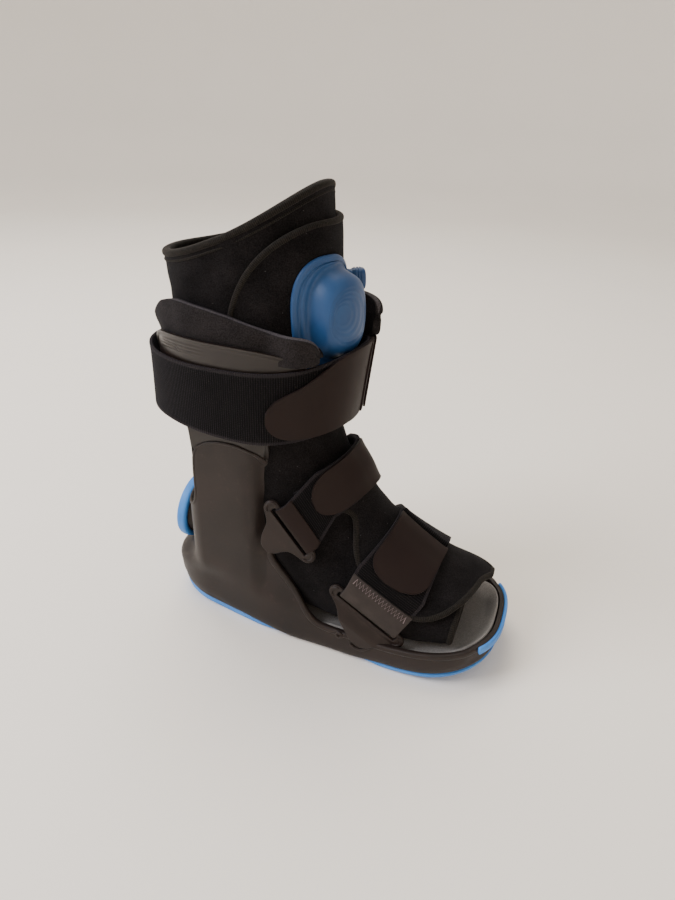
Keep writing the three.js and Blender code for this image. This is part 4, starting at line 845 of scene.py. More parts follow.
def make_shell():
    rows = len(SKIRT_RISES) + len(WALL_SHARES) - 1
    columns = len(EDGE) - 1
    sides = []
    for side in (NEAR, FAR):
        half = mapped(columns, rows, lambda u, v, side=side: wall_point(
            step_of(u, columns), step_of(v, rows), side))
        if side == FAR:
            bmesh.ops.reverse_faces(half, faces=half.faces)
        sides.append(half)
    wall = join(sides)
    bmesh.ops.remove_doubles(wall, verts=wall.verts, dist=2e-5)
    face_outward(wall, (0, 0))
    # The heel window: an oval hole whose edge is drawn to the oval
    window_room, near_window, heel_face_x = 0.8, 1.4, -0.1
    centre_z, below_cup_z = RING_CENTRE_Z * MM, (HEEL_CUP_Z - 3) * MM
    reach_y = (RING_HALF_WIDTH * RING_NECK_SHARE + window_room) * MM
    reach_z = (RING_HALF_HEIGHT * RING_NECK_SHARE + window_room) * MM

    def from_window(point):
        return math.hypot(point.y / reach_y, (point.z - centre_z) / reach_z)

    hole = [face for face in wall.faces
            if face.calc_center_median().x < heel_face_x and from_window(face.calc_center_median()) < 1]
    bmesh.ops.delete(wall, geom=hole, context="FACES")
    for vert in wall.verts:
        share = from_window(vert.co)
        on_heel = vert.is_boundary and vert.co.x < heel_face_x and vert.co.z < below_cup_z
        if on_heel and share < near_window:
            vert.co.y /= share
            vert.co.z = centre_z + (vert.co.z - centre_z) / share
    piece("shell_wall", wall, NYLON, ["shell"], wall=SHELL_WALL, offset=-1.0, edge=1.2,
          even=False)

    top = OUTSOLE_CORE + 0.4 + SHELL_FLOOR
    floor_rows = [(0, 5, flat(top - SHELL_FLOOR)), (0.8, 5, flat(top - SHELL_FLOOR)),
                  (1, 4, flat(top - SHELL_FLOOR)), (1, 4, flat(top)), (0.8, 5, flat(top)),
                  (0, 5, flat(top))]
    piece("shell_floor", sole_plate(plan_places(16, 30, 16), floor_rows), NYLON, ["shell"],
          closed=True)

    # Rolled lip along the whole upper edge, broad on the upright's front post, thin over the arch
    place, z = EDGE[:, 0], EDGE[:, 1]
    x = plan_point(place, NEAR)[:, 0]
    post = within(72, 110, 158, 186, z) * smooth(-60, -50, x)
    arch = smooth(160, 180, z) * (1 - post)
    rear = smooth(100, 118, z) * (1 - smooth(-112, -104, x)) * (1 - arch)
    half_depth = 2.9 + 2.6 * post - 1.7 * arch - 1.4 * rear
    half_lift = 2.7 + 0.7 * post - 1.7 * arch - 1.2 * rear
    lift = -1.6 - 0.8 * post + 0.9 * arch + 0.6 * rear
    toe = smooth(BUMPER_START_X - 4, BUMPER_START_X + 4, x)
    lips = []
    columns_all = np.arange(len(EDGE))
    last = np.full(len(EDGE), rows)
    for side in (NEAR, FAR):
        edge_line = wall_point(columns_all, last, side)
        inner_line = wall_point(columns_all, last - 3, side)
        normal_line = np.column_stack([
            inset_plan(place, np.full(len(place), side), -1.0,
                       *read_table(WALL_HEIGHTS, WALL_ROWS, np.clip(z, 0, 210)).T), z])
        base_line = np.column_stack([
            inset_plan(place, np.full(len(place), side), 0.0,
                       *read_table(WALL_HEIGHTS, WALL_ROWS, np.clip(z, 0, 210)).T), z])
        outward_line = edge_line + normal_line - base_line
        lips.append(tape(edge_line, inner_line, outward_line, half_depth - 0.5 + 1.5 * toe, lift, half_depth,
                         half_lift, False, around=16))
    lip = join(lips)
    bmesh.ops.remove_doubles(lip, verts=lip.verts, dist=2e-5)
    piece("shell_lip", lip, NYLON, ["shell"], closed=True)


def make_rim_seats():
    """On the rim's outer face, the lip that the toe buckle's foot hooks under and the boss beside it."""
    shares = np.linspace(0, 1, 40)
    seats = []
    for side in (NEAR, FAR):
        def on_rim(x, z, stand, side=side):
            return shell_point(place_at(x), side, z, -stand)

        x = mix(41.5, 61.5, shares)
        z = 16.5 + 2.4 * (1 - smooth(0, 0.3, shares)) + 6.5 * smooth(0.42, 1, shares) ** 1.5
        seats.append(tape(on_rim(x, z, 0.4), on_rim(x, z - 2, 0.4), on_rim(x, z, 2), 0, 0.4, 1.3, 1.2, False,
                          taper=0.08, around=12))
        turn = 2 * math.pi * shares
        x = 31.5 + 2.5 * np.cos(turn)
        z = 25 + 2.5 * np.sin(turn)
        centre_x, centre_z = np.full(40, 31.5), np.full(40, 25.0)
        seats.append(tape(on_rim(x, z, 0.4), on_rim(centre_x, centre_z, 0.4), on_rim(x, z, 2), 0, 0.3, 1.2,
                          1.3,
                          True, around=10))
    piece("rim_seats", join(seats), NYLON, [], closed=True)


def make_heel_ring():
    """A blue hoop that stands off the heel, on a dark collar that lines the window."""
    lip = RING_LIP_X
    hoop_rows = [(lip + 7.5, 0.84), (lip + 7.8, 0.93), (lip + 6.2, 0.99), (lip + 2.4, 1), (lip - 1.4, 0.98),
                 (lip - 2.4, 0.93), (lip - 1.6, 0.87), (lip + 2.5, 0.84), (lip + 7.5, 0.84)]
    seat = HEEL_NECK_X + SHELL_WALL + 1
    inner = RING_NECK_SHARE - 0.12
    collar_rows = [(seat, RING_NECK_SHARE), (HEEL_NECK_X - 4, RING_NECK_SHARE),
                   (lip + 5, RING_NECK_SHARE + 0.05),
                   (lip + 4, RING_NECK_SHARE), (lip + 5, inner), (HEEL_NECK_X, inner), (seat, inner),
                   (seat, RING_NECK_SHARE)]

    def ring(name, rows, material, slot, nodes):
        section = spline(np.array(rows) * (1, 32), 34) / (1, 32)

        def place(u, v):
            turn = 2 * math.pi * u
            x, share = section[step_of(v, 33)].T
            y = RING_HALF_WIDTH * share * np.cos(turn)
            rise = RING_HALF_HEIGHT * share * np.sin(turn)
            return np.column_stack([x + 0.08 * rise, y, RING_CENTRE_Z - 1.5 + rise])

        piece(name, mapped(84, 33, place), material, nodes, closed=True)

    ring("heel_window_ring", hoop_rows, SOLE_BLUE, "rubber_blue", ["heel_ring"])
    ring("heel_window_collar", collar_rows, NYLON, "shell_plastic", [])


# Bootie and wraps


def make_bootie():
    turns = np.linspace(0, 360, 121)
    tops = station_at_height(turns, rim_z(turns))

    def place(u, v):
        turn = 360 * u
        at = mix(np.interp(turn, turns, tops), LAST_STATION, v)
        skin = skin_point(at, turn)
        rough = unevenness(skin, 34, 1.3, 1) + unevenness(skin, 13, 0.5, 2)
        return skin_offset(at, turn, -LINER_WALL / 2 + rough * smooth(0, 0.02, v))

    bootie = piece("bootie", mapped(120, 110, place), FELT, ["liner"],
                   wall=LINER_WALL, edge=2.2)
    rim = tape(skin_offset(tops, turns, -3), skin_offset(tops + 0.04, turns, -3),
               skin_offset(tops, turns, 0),
               1.3, 0, 2.9, 3.8, True, around=16)
    seam = tape(skin_offset(tops, turns, -3), skin_offset(tops + 0.04, turns, -3),
                skin_offset(tops, turns, 0),
                6.6, 0, 1.2, 3.3, True, around=12)
    last = np.full(len(turns), float(LAST_STATION))
    toe = tape(skin_offset(last, turns, -3), skin_offset(last - 0.04, turns, -3),
               skin_offset(last, turns, 0),
               1.5, 0, 3.2, 3.6, True, around=14)
    piece("bootie_rim_tape", rim, TAPE, [], closed=True)
    piece("bootie_rim_seam", seam, TAPE, [], closed=True)
    piece("bootie_toe_tape", toe, TAPE, [], closed=True)


def make_shin_wrap():
    """The wrap that closes over the shin; its rear edge rises in a curve on the near side."""
    near_turn, far_turn, round_from = 90.0, -52.0, 12.0
    lean = 0.45
    steps = np.linspace(0, 1, 91)
    turn_of_step, top_of_step = [], []
    for e in steps:
        angle = min(e / lean, 1) * math.pi / 2
        turn = round_from + (near_turn - round_from) * math.cos(angle) ** (2 / 2.2)
        if e > lean:
            turn = mix(round_from, far_turn, (e - lean) / (1 - lean))
        turn_of_step.append(turn)
        low = FRONT_FLAP_BOTTOM_Z + 20
        top_of_step.append(mix(low, FRONT_FLAP_TOP_Z, math.sin(angle) ** (2 / 2.2)))
    turn_of_step, top_of_step = np.array(turn_of_step), np.array(top_of_step)
    middle = (FLAP_INNER + FLAP_OUTER) / 2

    def place(u, v):
        k = step_of(u, 90)
        z = mix(FRONT_FLAP_BOTTOM_Z, top_of_step[k], v)
        skin = leg_point(turn_of_step[k], z, middle)
        rough = unevenness(skin, 30, 0.9, 5)
        return leg_point(turn_of_step[k], z, middle + rough)

    wrap = piece("shin_wrap", mapped(90, 44, place), FELT, ["front_flap"], wall=4.0, edge=1.6)
    on = leg_point(turn_of_step, top_of_step, middle)
    inward = leg_point(np.clip(turn_of_step, None, 60) - 2, top_of_step - 5, middle)
    outward = leg_point(turn_of_step, top_of_step, middle + 2)
    binding = tape(on, inward, outward, 0.9, 0, 2.5, 2.8, False, taper=0.015)
    piece("shin_wrap_tape", binding, TAPE, [], closed=True)


# Where the tongue's near and far edges run: station along the foot, turn near, turn far
TONGUE_STATIONS = np.array([6.2, 7.5, 8.6, 9.9, 11.2, 11.8, 12.4, 13, 13.45, 13.8])
TONGUE_EDGES = np.array([(62, 62), (43.4, 62), (31, 62), (52.7, 62), (70, 62), (72.5, 62), (59.5, 62),
                         (29.8, 61), (-4, 54), (-24, 44)])


def make_tongue():
    """The tongue over the foot; its front edge runs diagonally, to a tip on the far side."""
    middle = (FLAP_INNER + FLAP_OUTER) / 2

    def edges(at):
        near, far = read_table(TONGUE_STATIONS, TONGUE_EDGES, at).T
        return near, far

    def place(u, v):
        at = mix(TONGUE_STATIONS[0], TONGUE_STATIONS[-1], v)
        near, far = edges(at)
        turn = mix(-far, near, u)
        skin = skin_point(at, turn)
        rough = unevenness(skin, 28, 0.8, 7) + unevenness(skin, 11, 0.35, 8)
        return skin_offset(at, turn, middle + rough)

    tongue = piece("tongue", mapped(54, 84, place), FELT, ["foot_flap"], wall=4.0, edge=1.5)
    stations = np.linspace(7.0, TONGUE_STATIONS[-1], 80)
    near, far = edges(stations)
    front = np.linspace(0, 1, 18)[1:-1]
    at = np.concatenate([stations, np.full(16, TONGUE_STATIONS[-1]), stations[::-1]])
    turn = np.concatenate([near, mix(near[-1], -far[-1], front), -far[::-1]])
    line = spline(np.column_stack([at * 12, turn]), 150)
    at, turn = line[:, 0] / 12, line[:, 1]
    on = skin_offset(at, turn, middle)
    inward = skin_offset(np.minimum(at, 13.2) - 0.25, turn * 0.86 - 2, middle)
    outward = skin_offset(at, turn, middle + 2)
    binding = tape(on, inward, outward, 1.0, 0.1, 2.7, 2.7, False, taper=0.01)
    piece("tongue_tape", binding, TAPE, [], closed=True)


# Foam pads and calf plates

PADS = {
    "near": {"rear": 179, "front": 41, "flare": 3, "lift": 7, "end_bottom": PAD_TOP_Z - 25,
             "end_top": PAD_TOP_Z - 2, "round_top": 15, "round_bottom": 5},
    "far": {"rear": -170, "front": -21, "flare": 19, "lift": 0, "end_bottom": PAD_TOP_Z - 22,
            "end_top": PAD_TOP_Z + 14, "round_top": 15, "round_bottom": 13},
}


# How far the pad's top edge rises or dips along it, from its rear to its front
PAD_EDGE_PLACES = np.array([0, 0.14, 0.2, 0.26, 0.34, 0.44, 0.54, 0.64, 0.75, 0.86, 1])
PAD_EDGE_RISES = np.array([[-14], [-12], [-6], [1], [9], [12.5], [12], [9], [4.5], [0], [0]])


def make_pad(side):
    shape = PADS[side]

    def place(u, v):
        turn = mix(shape["rear"], shape["front"], u)
        to_front = smooth(0.6, 0.82, u)
        bottom = mix(PAD_BOTTOM_Z, shape["end_bottom"], to_front)
        top = mix(PAD_TOP_Z, shape["end_top"], to_front) + read_table(PAD_EDGE_PLACES, PAD_EDGE_RISES, u)[:,
                                                                                                          0]
        rounded = 1 - round_end((u - 0.88) / 0.12, 2.4)
        z = mix(bottom + shape["round_bottom"] * rounded, top - shape["round_top"] * rounded, v)
        inset = (PAD_OUTER + PAD_INNER) / 2 - shape["lift"] * smooth(0.8, 0.92, u)
        even = 1 - 0.8 * smooth(0.72, 0.86, u)
        inset = inset - 1.6 * even * np.exp(-((z - PAD_TOP_Z + 6) / 9) ** 2) * smooth(0.02, 0.2, u)
        inset = inset - smooth(0.6, 1, v) * (1.6 + 4 * (1 - smooth(0.05, 0.3, u)))
        spot = loop_point(turn, z, inset)
        inset = inset + even * unevenness(spot, 26, 1.1, 11)
        spot = loop_point(turn, z, inset, REAR_TUCK)
        spot[:, 0] += shape["flare"] * smooth(0.8, 1, u)
        return spot

    # Columns crowd towards the rounded front end
    def graded(u, v):
        return place(np.where(u < 0.7, u / 0.7 * 0.88,
                              0.88 + 0.12 * np.sin(clamp((u - 0.7) / 0.3) * math.pi / 2)), v)

    pad = piece("foam_pad_" + side, mapped(110, 26, graded), LIT_PAD_FELT, ["pad_" + side],
                wall=PAD_THICKNESS, edge=1.3, even=False)
    # The foam's cut edge along the top, paler than the cloth: partly the foam's own grey, partly a painted
    # highlight where the top edge faces the light
    along = np.linspace(0.01, 0.985, 130)
    edge_line = graded(along, np.full(130, 0.995))
    inner_line = graded(along, np.full(130, 0.9))
    facing = np.cross(np.gradient(edge_line, axis=0), inner_line - edge_line)
    cut = tape(edge_line, inner_line, edge_line + facing, 0.6, 0, 1.1, PAD_THICKNESS / 2 - 0.6, False,
               taper=0.16,
               around=12)
    piece("foam_pad_edge_" + side, cut, FOAM_EDGE_HIGHLIGHT, [], closed=True)


def make_calf_plate(side, name):
    """A plate round the calf with a stem down behind the upright, flush with it over the arch."""
    tuck_bottom, tuck_top = 201.0, 216.0
    knee_share = 0.4
    arch_middle, arch_half = (UPRIGHT_REAR_X + UPRIGHT_FRONT_X) / 2, (UPRIGHT_FRONT_X - UPRIGHT_REAR_X) / 2

    def place(u, v):
        turn = side * mix(-160.0, -42.0, u)
        x = loop_point(turn, 0, CUFF_OUTER, REAR_TUCK)[..., 0]
        in_stem = within(-116, -109, -47, -40, x)
        ends = 1 - round_end(np.abs(2 * u - 1), 2.6)
        bottom = mix(CUFF_BOTTOM_Z + 8 * ends, STEM_BOTTOM_Z, in_stem)
        top = mix(CUFF_TOP_Z + 6, CUFF_TOP_Z - 22, ends) - 9 * (1 - smooth(0, 0.22, u))
        knee = np.maximum(tuck_bottom, bottom + 3)
        z = np.where(v < knee_share, mix(bottom, knee, v / knee_share),
                     mix(knee, top, (v - knee_share) / (1 - knee_share)))
        below = top - z
        rear = within(0.18, 0.27, 0.42, 0.56, u)
        ribs = sum(np.exp(-((below - d) / 0.8) ** 2) for d in (6.0, 8.7, 11.4)) * 0.45 * rear
        roll = 1.6 * np.exp(-(below / 2.4) ** 2)
        spot = loop_point(turn, z, CUFF_OUTER + CUFF_THICKNESS / 2 - ribs - roll, REAR_TUCK)
        low = 1 - smooth(tuck_bottom, tuck_top, z)
        across = clamp(1 - ((x - arch_middle) / arch_half) ** 2) ** 0.4
        over_arch = smooth(-6, 1, z - UPRIGHT_SHOULDER_Z - UPRIGHT_ARCH_RISE * across)
        inside = upright_half(spot[:, 0]) - SHELL_WALL - 0.4 - CUFF_THICKNESS / 2 + 3.4 * over_arch
        tucked = np.minimum(np.abs(spot[:, 1]), inside)
        tucked = tucked - 1.15 * front_corner(spot[:, 0], z)
        spot[:, 1] = side * mix(np.abs(spot[:, 1]), tucked, low)
        return spot

    # Columns crowd towards both ends, and rows towards the top edge with its ribs
    def graded(u, v):
        along = 0.5 - 0.5 * np.cos(math.pi * u) * (1 - 0.12 * np.sin(math.pi * u) ** 2)
        return place(along, np.where(v < 0.4, 2.1 * v, 0.84 + 0.16 / 0.6 * (v - 0.4)))

    piece("calf_plate_" + name, mapped(110, 150, graded), SHEET, ["cuff_" + name],
          wall=CUFF_THICKNESS, edge=0.9, even=False)


# Straps


def strap_layer(table, first, last, off, outward):
    """Part of a strap's table of points, moved off its face."""
    along, across = np.gradient(table, axis=0), np.gradient(table, axis=1)
    normal = np.cross(along, across)
    normal /= np.linalg.norm(normal, axis=2, keepdims=True)
    if (normal * (table - outward)).sum() < 0:
        normal = -normal
    return (table + normal * off)[first:last + 1]


def make_calf_strap():
    def place(u, v):
        turn = 360 * u
        hang = 0.075 * (1 - smooth(70, 125, np.minimum(turn, 360 - turn)))
        across = CALF_STRAP_WIDTH * mix(-0.5 - hang, 0.5, v)
        spot = on_calf_strap(turn, across, 1.4)
        inset = 1.4 + unevenness(spot, 40, 0.7, 21) - 0.5 * np.exp(-((v - 1) / 0.08) ** 2)
        return on_calf_strap(turn, across + unevenness(spot, 45, 0.9, 22), inset)

    piece("calf_strap_webbing", mapped(180, 16, place), WEBBING,
          ["calf_strap"], wall=STRAP_THICKNESS, edge=0.8)

    def tab_place(u, v):
        angle = clamp((u - 0.62) / 0.38) * math.pi / 2
        along = np.where(u < 0.62, u / 0.62 * 0.8, 0.8 + 0.2 * np.sin(angle))
        turn = mix(-10.0, 69.0, along)
        half = np.maximum(0.2, np.cos(angle) ** 0.9)
        low = -(0.5 + 0.17 * (1 - smooth(0, 62, turn))) * CALF_STRAP_WIDTH
        high = mix(0.5, 0.2, smooth(0.4, 0.9, along)) * CALF_STRAP_WIDTH
        across = (low + high) / 2 + (high - low) * half * (v - 0.5)
        spot = on_calf_strap(turn, across, -1.7)
        lift = 0.9 * smooth(0.86, 1, along) + 0.5 * np.exp(-((v - 1) / 0.1) ** 2)
        return on_calf_strap(turn, across, -1.7 - lift + unevenness(spot, 35, 0.5, 23))

    piece("calf_strap_tab", mapped(70, 22, tab_place), HOOK, ["calf_tab"],
          wall=TAB_THICKNESS, edge=0.6)
    # Folded layers where the strap turns back through its loop, at the front
    for k, (start, stop, inset) in enumerate(((-30, -9.5, -1.0), (-27, -5.5, -3.0), (-25, -11, -4.9))):
        def layer_place(u, v, start=start, stop=stop, inset=inset, k=k):
            turn = mix(float(start), float(stop), u)
            sink = 3.2 * (1 - smooth(0, 0.35, u))
            across = CALF_STRAP_WIDTH * mix(-0.69 + 0.025 * k, 0.48, v)
            return on_calf_strap(turn, across, inset + sink)
        piece("calf_strap_fold_%d" % (k + 1), mapped(18, 14, layer_place), WEBBING if k == 0 else HOOK,
              [], wall=LAYER_THICKNESS, edge=0.6)


# Each buckle's bar runs from rear to front; waist is the line round its foot, from the front ear to the
# rear ear (along the bar, down from it), and bend is how far the foot stands out, between two depths
INSTEP_BUCKLE = {
    "rear": (-37.1, 53, 134), "front": (-4, 52, 93), "foot": (-36, 57.6, 92),
    "waist": [(47.5, 9.3), (41, 12.6), (37.6, 18.4), (35.6, 25), (30.5, 29.6), (23, 29.4), (17, 24.5),
              (12.7, 18),
              (8.2, 12)],
    "bend": (0.6, 4, 14), "front_drop": 0,
}
TOE_BUCKLE = {
    "rear": (25, 56, 66), "front": (82, 58.5, 35), "foot": (46, 58.2, 25),
    "waist": [(59.5, 12.8), (54, 16.6), (50.5, 21), (47.3, 25), (42.5, 27.6), (36, 27.2), (30.5, 24.8),
              (23.8, 21),
              (17, 16.8), (9.5, 11.6)],
    "bend": (8.2, 7, 17), "front_drop": 1.6,
}


def buckle_frame(places, side):
    rear, front, foot = (np.array((x, side * y, z), float) for x, y, z in
                         (places["rear"], places["front"], places["foot"]))
    length = np.linalg.norm(front - rear)
    along = (front - rear) / length
    to_foot = foot - rear
    foot_along = to_foot @ along
    down = to_foot - along * foot_along
    depth = np.linalg.norm(down)
    down /= depth
    face = np.cross(along, down)
    face *= 1 if face[1] * side > 0 else -1
    return rear, along, down, face, length, depth, foot_along


def strap_end(places, side, share):
    """Where the webbing goes over the buckle's bar and into its slot, from the foot's side."""
    rear, along, down, face, length, _, _ = buckle_frame(places, side)
    bar = rear + along * mix(3.2, length - 3.2, share)
    return [bar + down * low + face * off for low, off in
            ((-12, 1.7), (-9, 1.9), (-6.4, 2.0), (-4.3, 1.8), (-2.7, 0.8), (-1.6, -1.0), (-1.4, -3.0))]


def band_station(band, share, turn):
    """Where a strap lies: its two edges' stations, less how far it leans back on top of the foot."""
    return mix(band[0], band[1], share) - band[2] * np.maximum(0, np.cos(np.radians(turn))) ** 2


def foot_strap_table(band, places, reach, columns=120, rows=14):
    table = np.zeros((columns + 1, rows + 1, 3))
    for j in range(rows + 1):
        share = j / rows
        turns = np.linspace(-reach, reach, 31)
        at = band_station(band, share, turns)
        skin = skin_offset(at, turns, (STRAP_INNER + STRAP_OUTER) / 2)
        line = list(reversed(strap_end(places, FAR, share))) + list(skin) + strap_end(places, NEAR, share)
        table[:, j] = spline(line, columns + 1)
    return table


def arc_lengths(table):
    middle = table[:, table.shape[1] // 2]
    return np.concatenate([[0], np.cumsum(np.linalg.norm(np.diff(middle, axis=0), axis=1))])


def zigzag(name, table, lengths, start, width, teeth, off, inside):
    """A row of zigzag stitches across the strap, a distance from its near end."""
    total = lengths[-1]
    layer = strap_layer(table, 0, table.shape[0] - 1, off, inside)
    rows = table.shape[1] - 1
    curve = bpy.data.curves.new(name, "CURVE")
    curve.dimensions, curve.bevel_depth, curve.bevel_resolution = "3D", 0.42 * MM, 2
    line = curve.splines.new("POLY")
    line.points.add(2 * teeth)
    for k in range(2 * teeth + 1):
        across = mix(0.06, 0.94, k / (2 * teeth)) * rows
        along = total - start - (width if k % 2 else 0)
        i = np.interp(along, lengths, np.arange(len(lengths)))
        i0, j0 = int(min(i, len(lengths) - 2)), int(min(across, rows - 1))
        near_row = mix(layer[i0, j0], layer[i0 + 1, j0], i - i0)
        next_row = mix(layer[i0, j0 + 1], layer[i0 + 1, j0 + 1], i - i0)
        line.points[k].co = (*(mix(near_row, next_row, across - j0) * MM), 1)
    holder = bpy.data.objects.new(name + "_line", curve)
    bpy.context.scene.collection.objects.link(holder)
    bpy.context.view_layer.update()
    mesh = bpy.data.meshes.new_from_object(holder.evaluated_get(bpy.context.evaluated_depsgraph_get()))
    bm = bmesh.new()
    bm.from_mesh(mesh)
    bpy.data.objects.remove(holder)
    piece(name, bm, THREAD, [], closed=True)


def make_foot_strap(name, band, places, reach, fold, tip, narrow, flap, end_material, roll_radius):
    table = foot_strap_table(band, places, reach)
    lengths = arc_lengths(table)
    inside = table.mean(axis=(0, 1))
    inside[2] -= 30
    rows = table.shape[1] - 1
    base = piece(name + "_webbing", mapped(len(table) - 1, rows, grid_place(table)), WEBBING,
                 [name + "_strap"], wall=STRAP_THICKNESS, edge=0.7)
    # The near end is folded round the bar and sewn down on the strap
    first = int(np.searchsorted(lengths, lengths[-1] - flap))
    last = int(np.searchsorted(lengths, lengths[-1] - 5.5))
    sewn = strap_layer(table, first, last, 2.2, inside)
    piece(name + "_sewn_end", mapped(last - first, rows, grid_place(sewn)), end_material, [],
          wall=LAYER_THICKNESS, edge=0.7)
    # The far end comes back over the foot as a second layer, up to the fold where the tab is sewn on
    start = int(np.searchsorted(lengths, 5.5))
    stop = int(np.searchsorted(lengths, lengths[-1] / 2 + (fold + 4) / reach * (lengths[-1] / 2 - 24)))
    back = strap_layer(table, start, stop, 2.1, inside)
    piece(name + "_return", mapped(stop - start, rows, grid_place(back)), WEBBING, [],
          wall=LAYER_THICKNESS, edge=0.7)

    # The webbing's roll at the fold, seen beside the hook end
    across_share = np.linspace(0, 1, 24)
    roll_turn = np.full(24, float(fold) - 1.5 * roll_radius)
    at_fold = band_station(band, across_share, roll_turn)
    on = skin_offset(at_fold, roll_turn, STRAP_OUTER + 1.2)
    roll = tape(on, skin_offset(at_fold, roll_turn - 3, STRAP_OUTER + 1.2),
                skin_offset(at_fold, roll_turn, STRAP_OUTER + 4), 0, 0.5, roll_radius, 0.8 * roll_radius,
                False, taper=0.04, around=12)
    piece(name + "_fold_roll", roll, WEBBING, [], closed=True)

    def tab_place(u, v):
        angle = clamp((u - 0.6) / 0.4) * math.pi / 2
        along = np.where(u < 0.6, u / 0.6 * 0.7, 0.7 + 0.3 * np.sin(angle))
        half = mix(1, narrow, along) * np.maximum(0.3, np.cos(angle) ** 0.8)
        turn = mix(float(fold), float(tip), along)
        at = band_station(band, 0.5 + half * (v - 0.5), turn)
        lift = 1.6 * (1 - smooth(0.05, 0.3, along)) + 0.7 * smooth(0.85, 1, along)
        rough = unevenness(skin_point(at, turn), 30, 0.5, 31)
        return skin_offset(at, turn, STRAP_OUTER + 1.1 + lift + rough)

    tab = piece(name + "_hook_end", mapped(60, 22, tab_place), HOOK, [name + "_tab"],
                wall=TAB_THICKNESS, edge=0.6)
    return table, lengths, inside, base, tab


# Buckles


def make_buckle(name, places, side):
    rear, along, down, face, length, _, _ = buckle_frame(places, side)
    r, ear_y, bar_top = BUCKLE_EAR_RADIUS + 0.7, 1.2, -0.6 * BUCKLE_SLOT_WIDTH
    slot_bottom = 1.1 * BUCKLE_SLOT_WIDTH
    front_drop = places["front_drop"]
    push, bend_start, bend_end = places["bend"]

    def arc(centre_x, centre_y, radius, start, stop, count):
        return [(centre_x + radius * math.cos(a), centre_y + radius * math.sin(a))
                for a in np.linspace(start * math.pi, stop * math.pi, count)]

    def bent(points, lift=0.0):
        points = np.asarray(points, float)
        out = push * smooth(bend_start, bend_end, points[:, 1]) + lift
        return rear + points[:, :1] * along + points[:, 1:2] * down + out[:, None] * face

    front_y = ear_y + front_drop
    outline = arc(length, front_y, r, -0.5, 0.4, 10) + places["waist"] + arc(0, ear_y, r, 0.66, 1.5, 10)
    outline = spline(outline, 110)
    slot = np.array([(1.6, bar_top), (0.4, bar_top + 1.4), (0.4, slot_bottom - 1.4), (1.6, slot_bottom),
                     (length - 1.6, slot_bottom + front_drop),
                     (length - 0.4, slot_bottom - 1.4 + front_drop),
                     (length - 0.4, bar_top + 1.4), (length - 1.6, bar_top)])
    # A moulded bead round each end of the slot, and one along the foot's edge
    beads = []
    for centre_x, centre_y, start, stop in ((0, ear_y, 0.45, 1.5), (length, front_y, 0.52, -0.5)):
        bead = np.array(arc(centre_x, centre_y, r - 1.3, start, stop, 40))
        line = bent(bead)
        centre_line = np.broadcast_to(bent([(centre_x, centre_y)])[0], line.shape)
        beads.append(tape(line, centre_line, line + face, 0, -0.1, 1.3, 1.1, False, taper=0.2, around=10))
    piece(name + "_bead", join(beads), NYLON, [], closed=True)
    curve = bpy.data.curves.new(name, "CURVE")
    curve.dimensions, curve.fill_mode = "2D", "BOTH"
    curve.extrude, curve.bevel_depth, curve.bevel_resolution = (BUCKLE_THICKNESS / 2 - 0.9) * MM, 0.9 * MM, 3
    for points in (outline, slot):
        line = curve.splines.new("POLY")
        line.points.add(len(points) - 1)
        line.use_cyclic_u = True
        for point, (x, y) in zip(line.points, points):
            point.co = (x * MM, y * MM, 0, 1)
    holder = bpy.data.objects.new(name + "_outline", curve)
    bpy.context.scene.collection.objects.link(holder)
    bpy.context.view_layer.update()
    mesh = bpy.data.meshes.new_from_object(holder.evaluated_get(bpy.context.evaluated_depsgraph_get()))
    bm = bmesh.new()
    bm.from_mesh(mesh)
    bpy.data.objects.remove(holder)
    bmesh.ops.remove_doubles(bm, verts=bm.verts, dist=1e-6)
    for cut in np.linspace(bend_start, bend_end, 9):
        bmesh.ops.bisect_plane(bm, geom=bm.verts[:] + bm.edges[:] + bm.faces[:], plane_co=(0, cut * MM, 0),
                               plane_no=(0, 1, 0))
    flat = np.array([vert.co[:] for vert in bm.verts]) / MM
    placed = bent(flat[:, :2]) + (flat[:, 2:] - BUCKLE_THICKNESS / 2) * face
    for vert, spot in zip(bm.verts, placed):
        vert.co = spot * MM
    return piece(name + "_plate", bm, NYLON, [name], closed=True)


# Air pump and its valve


def pump_point(across, rise, offset):
    step = leg_point(PUMP_TURN + 1.0, PUMP_Z, FLAP_OUTER) - leg_point(PUMP_TURN - 1.0, PUMP_Z, FLAP_OUTER)
    width = np.linalg.norm(step) / 2
    return leg_point(PUMP_TURN + across / width, PUMP_Z + rise, FLAP_OUTER + 0.5 + offset)


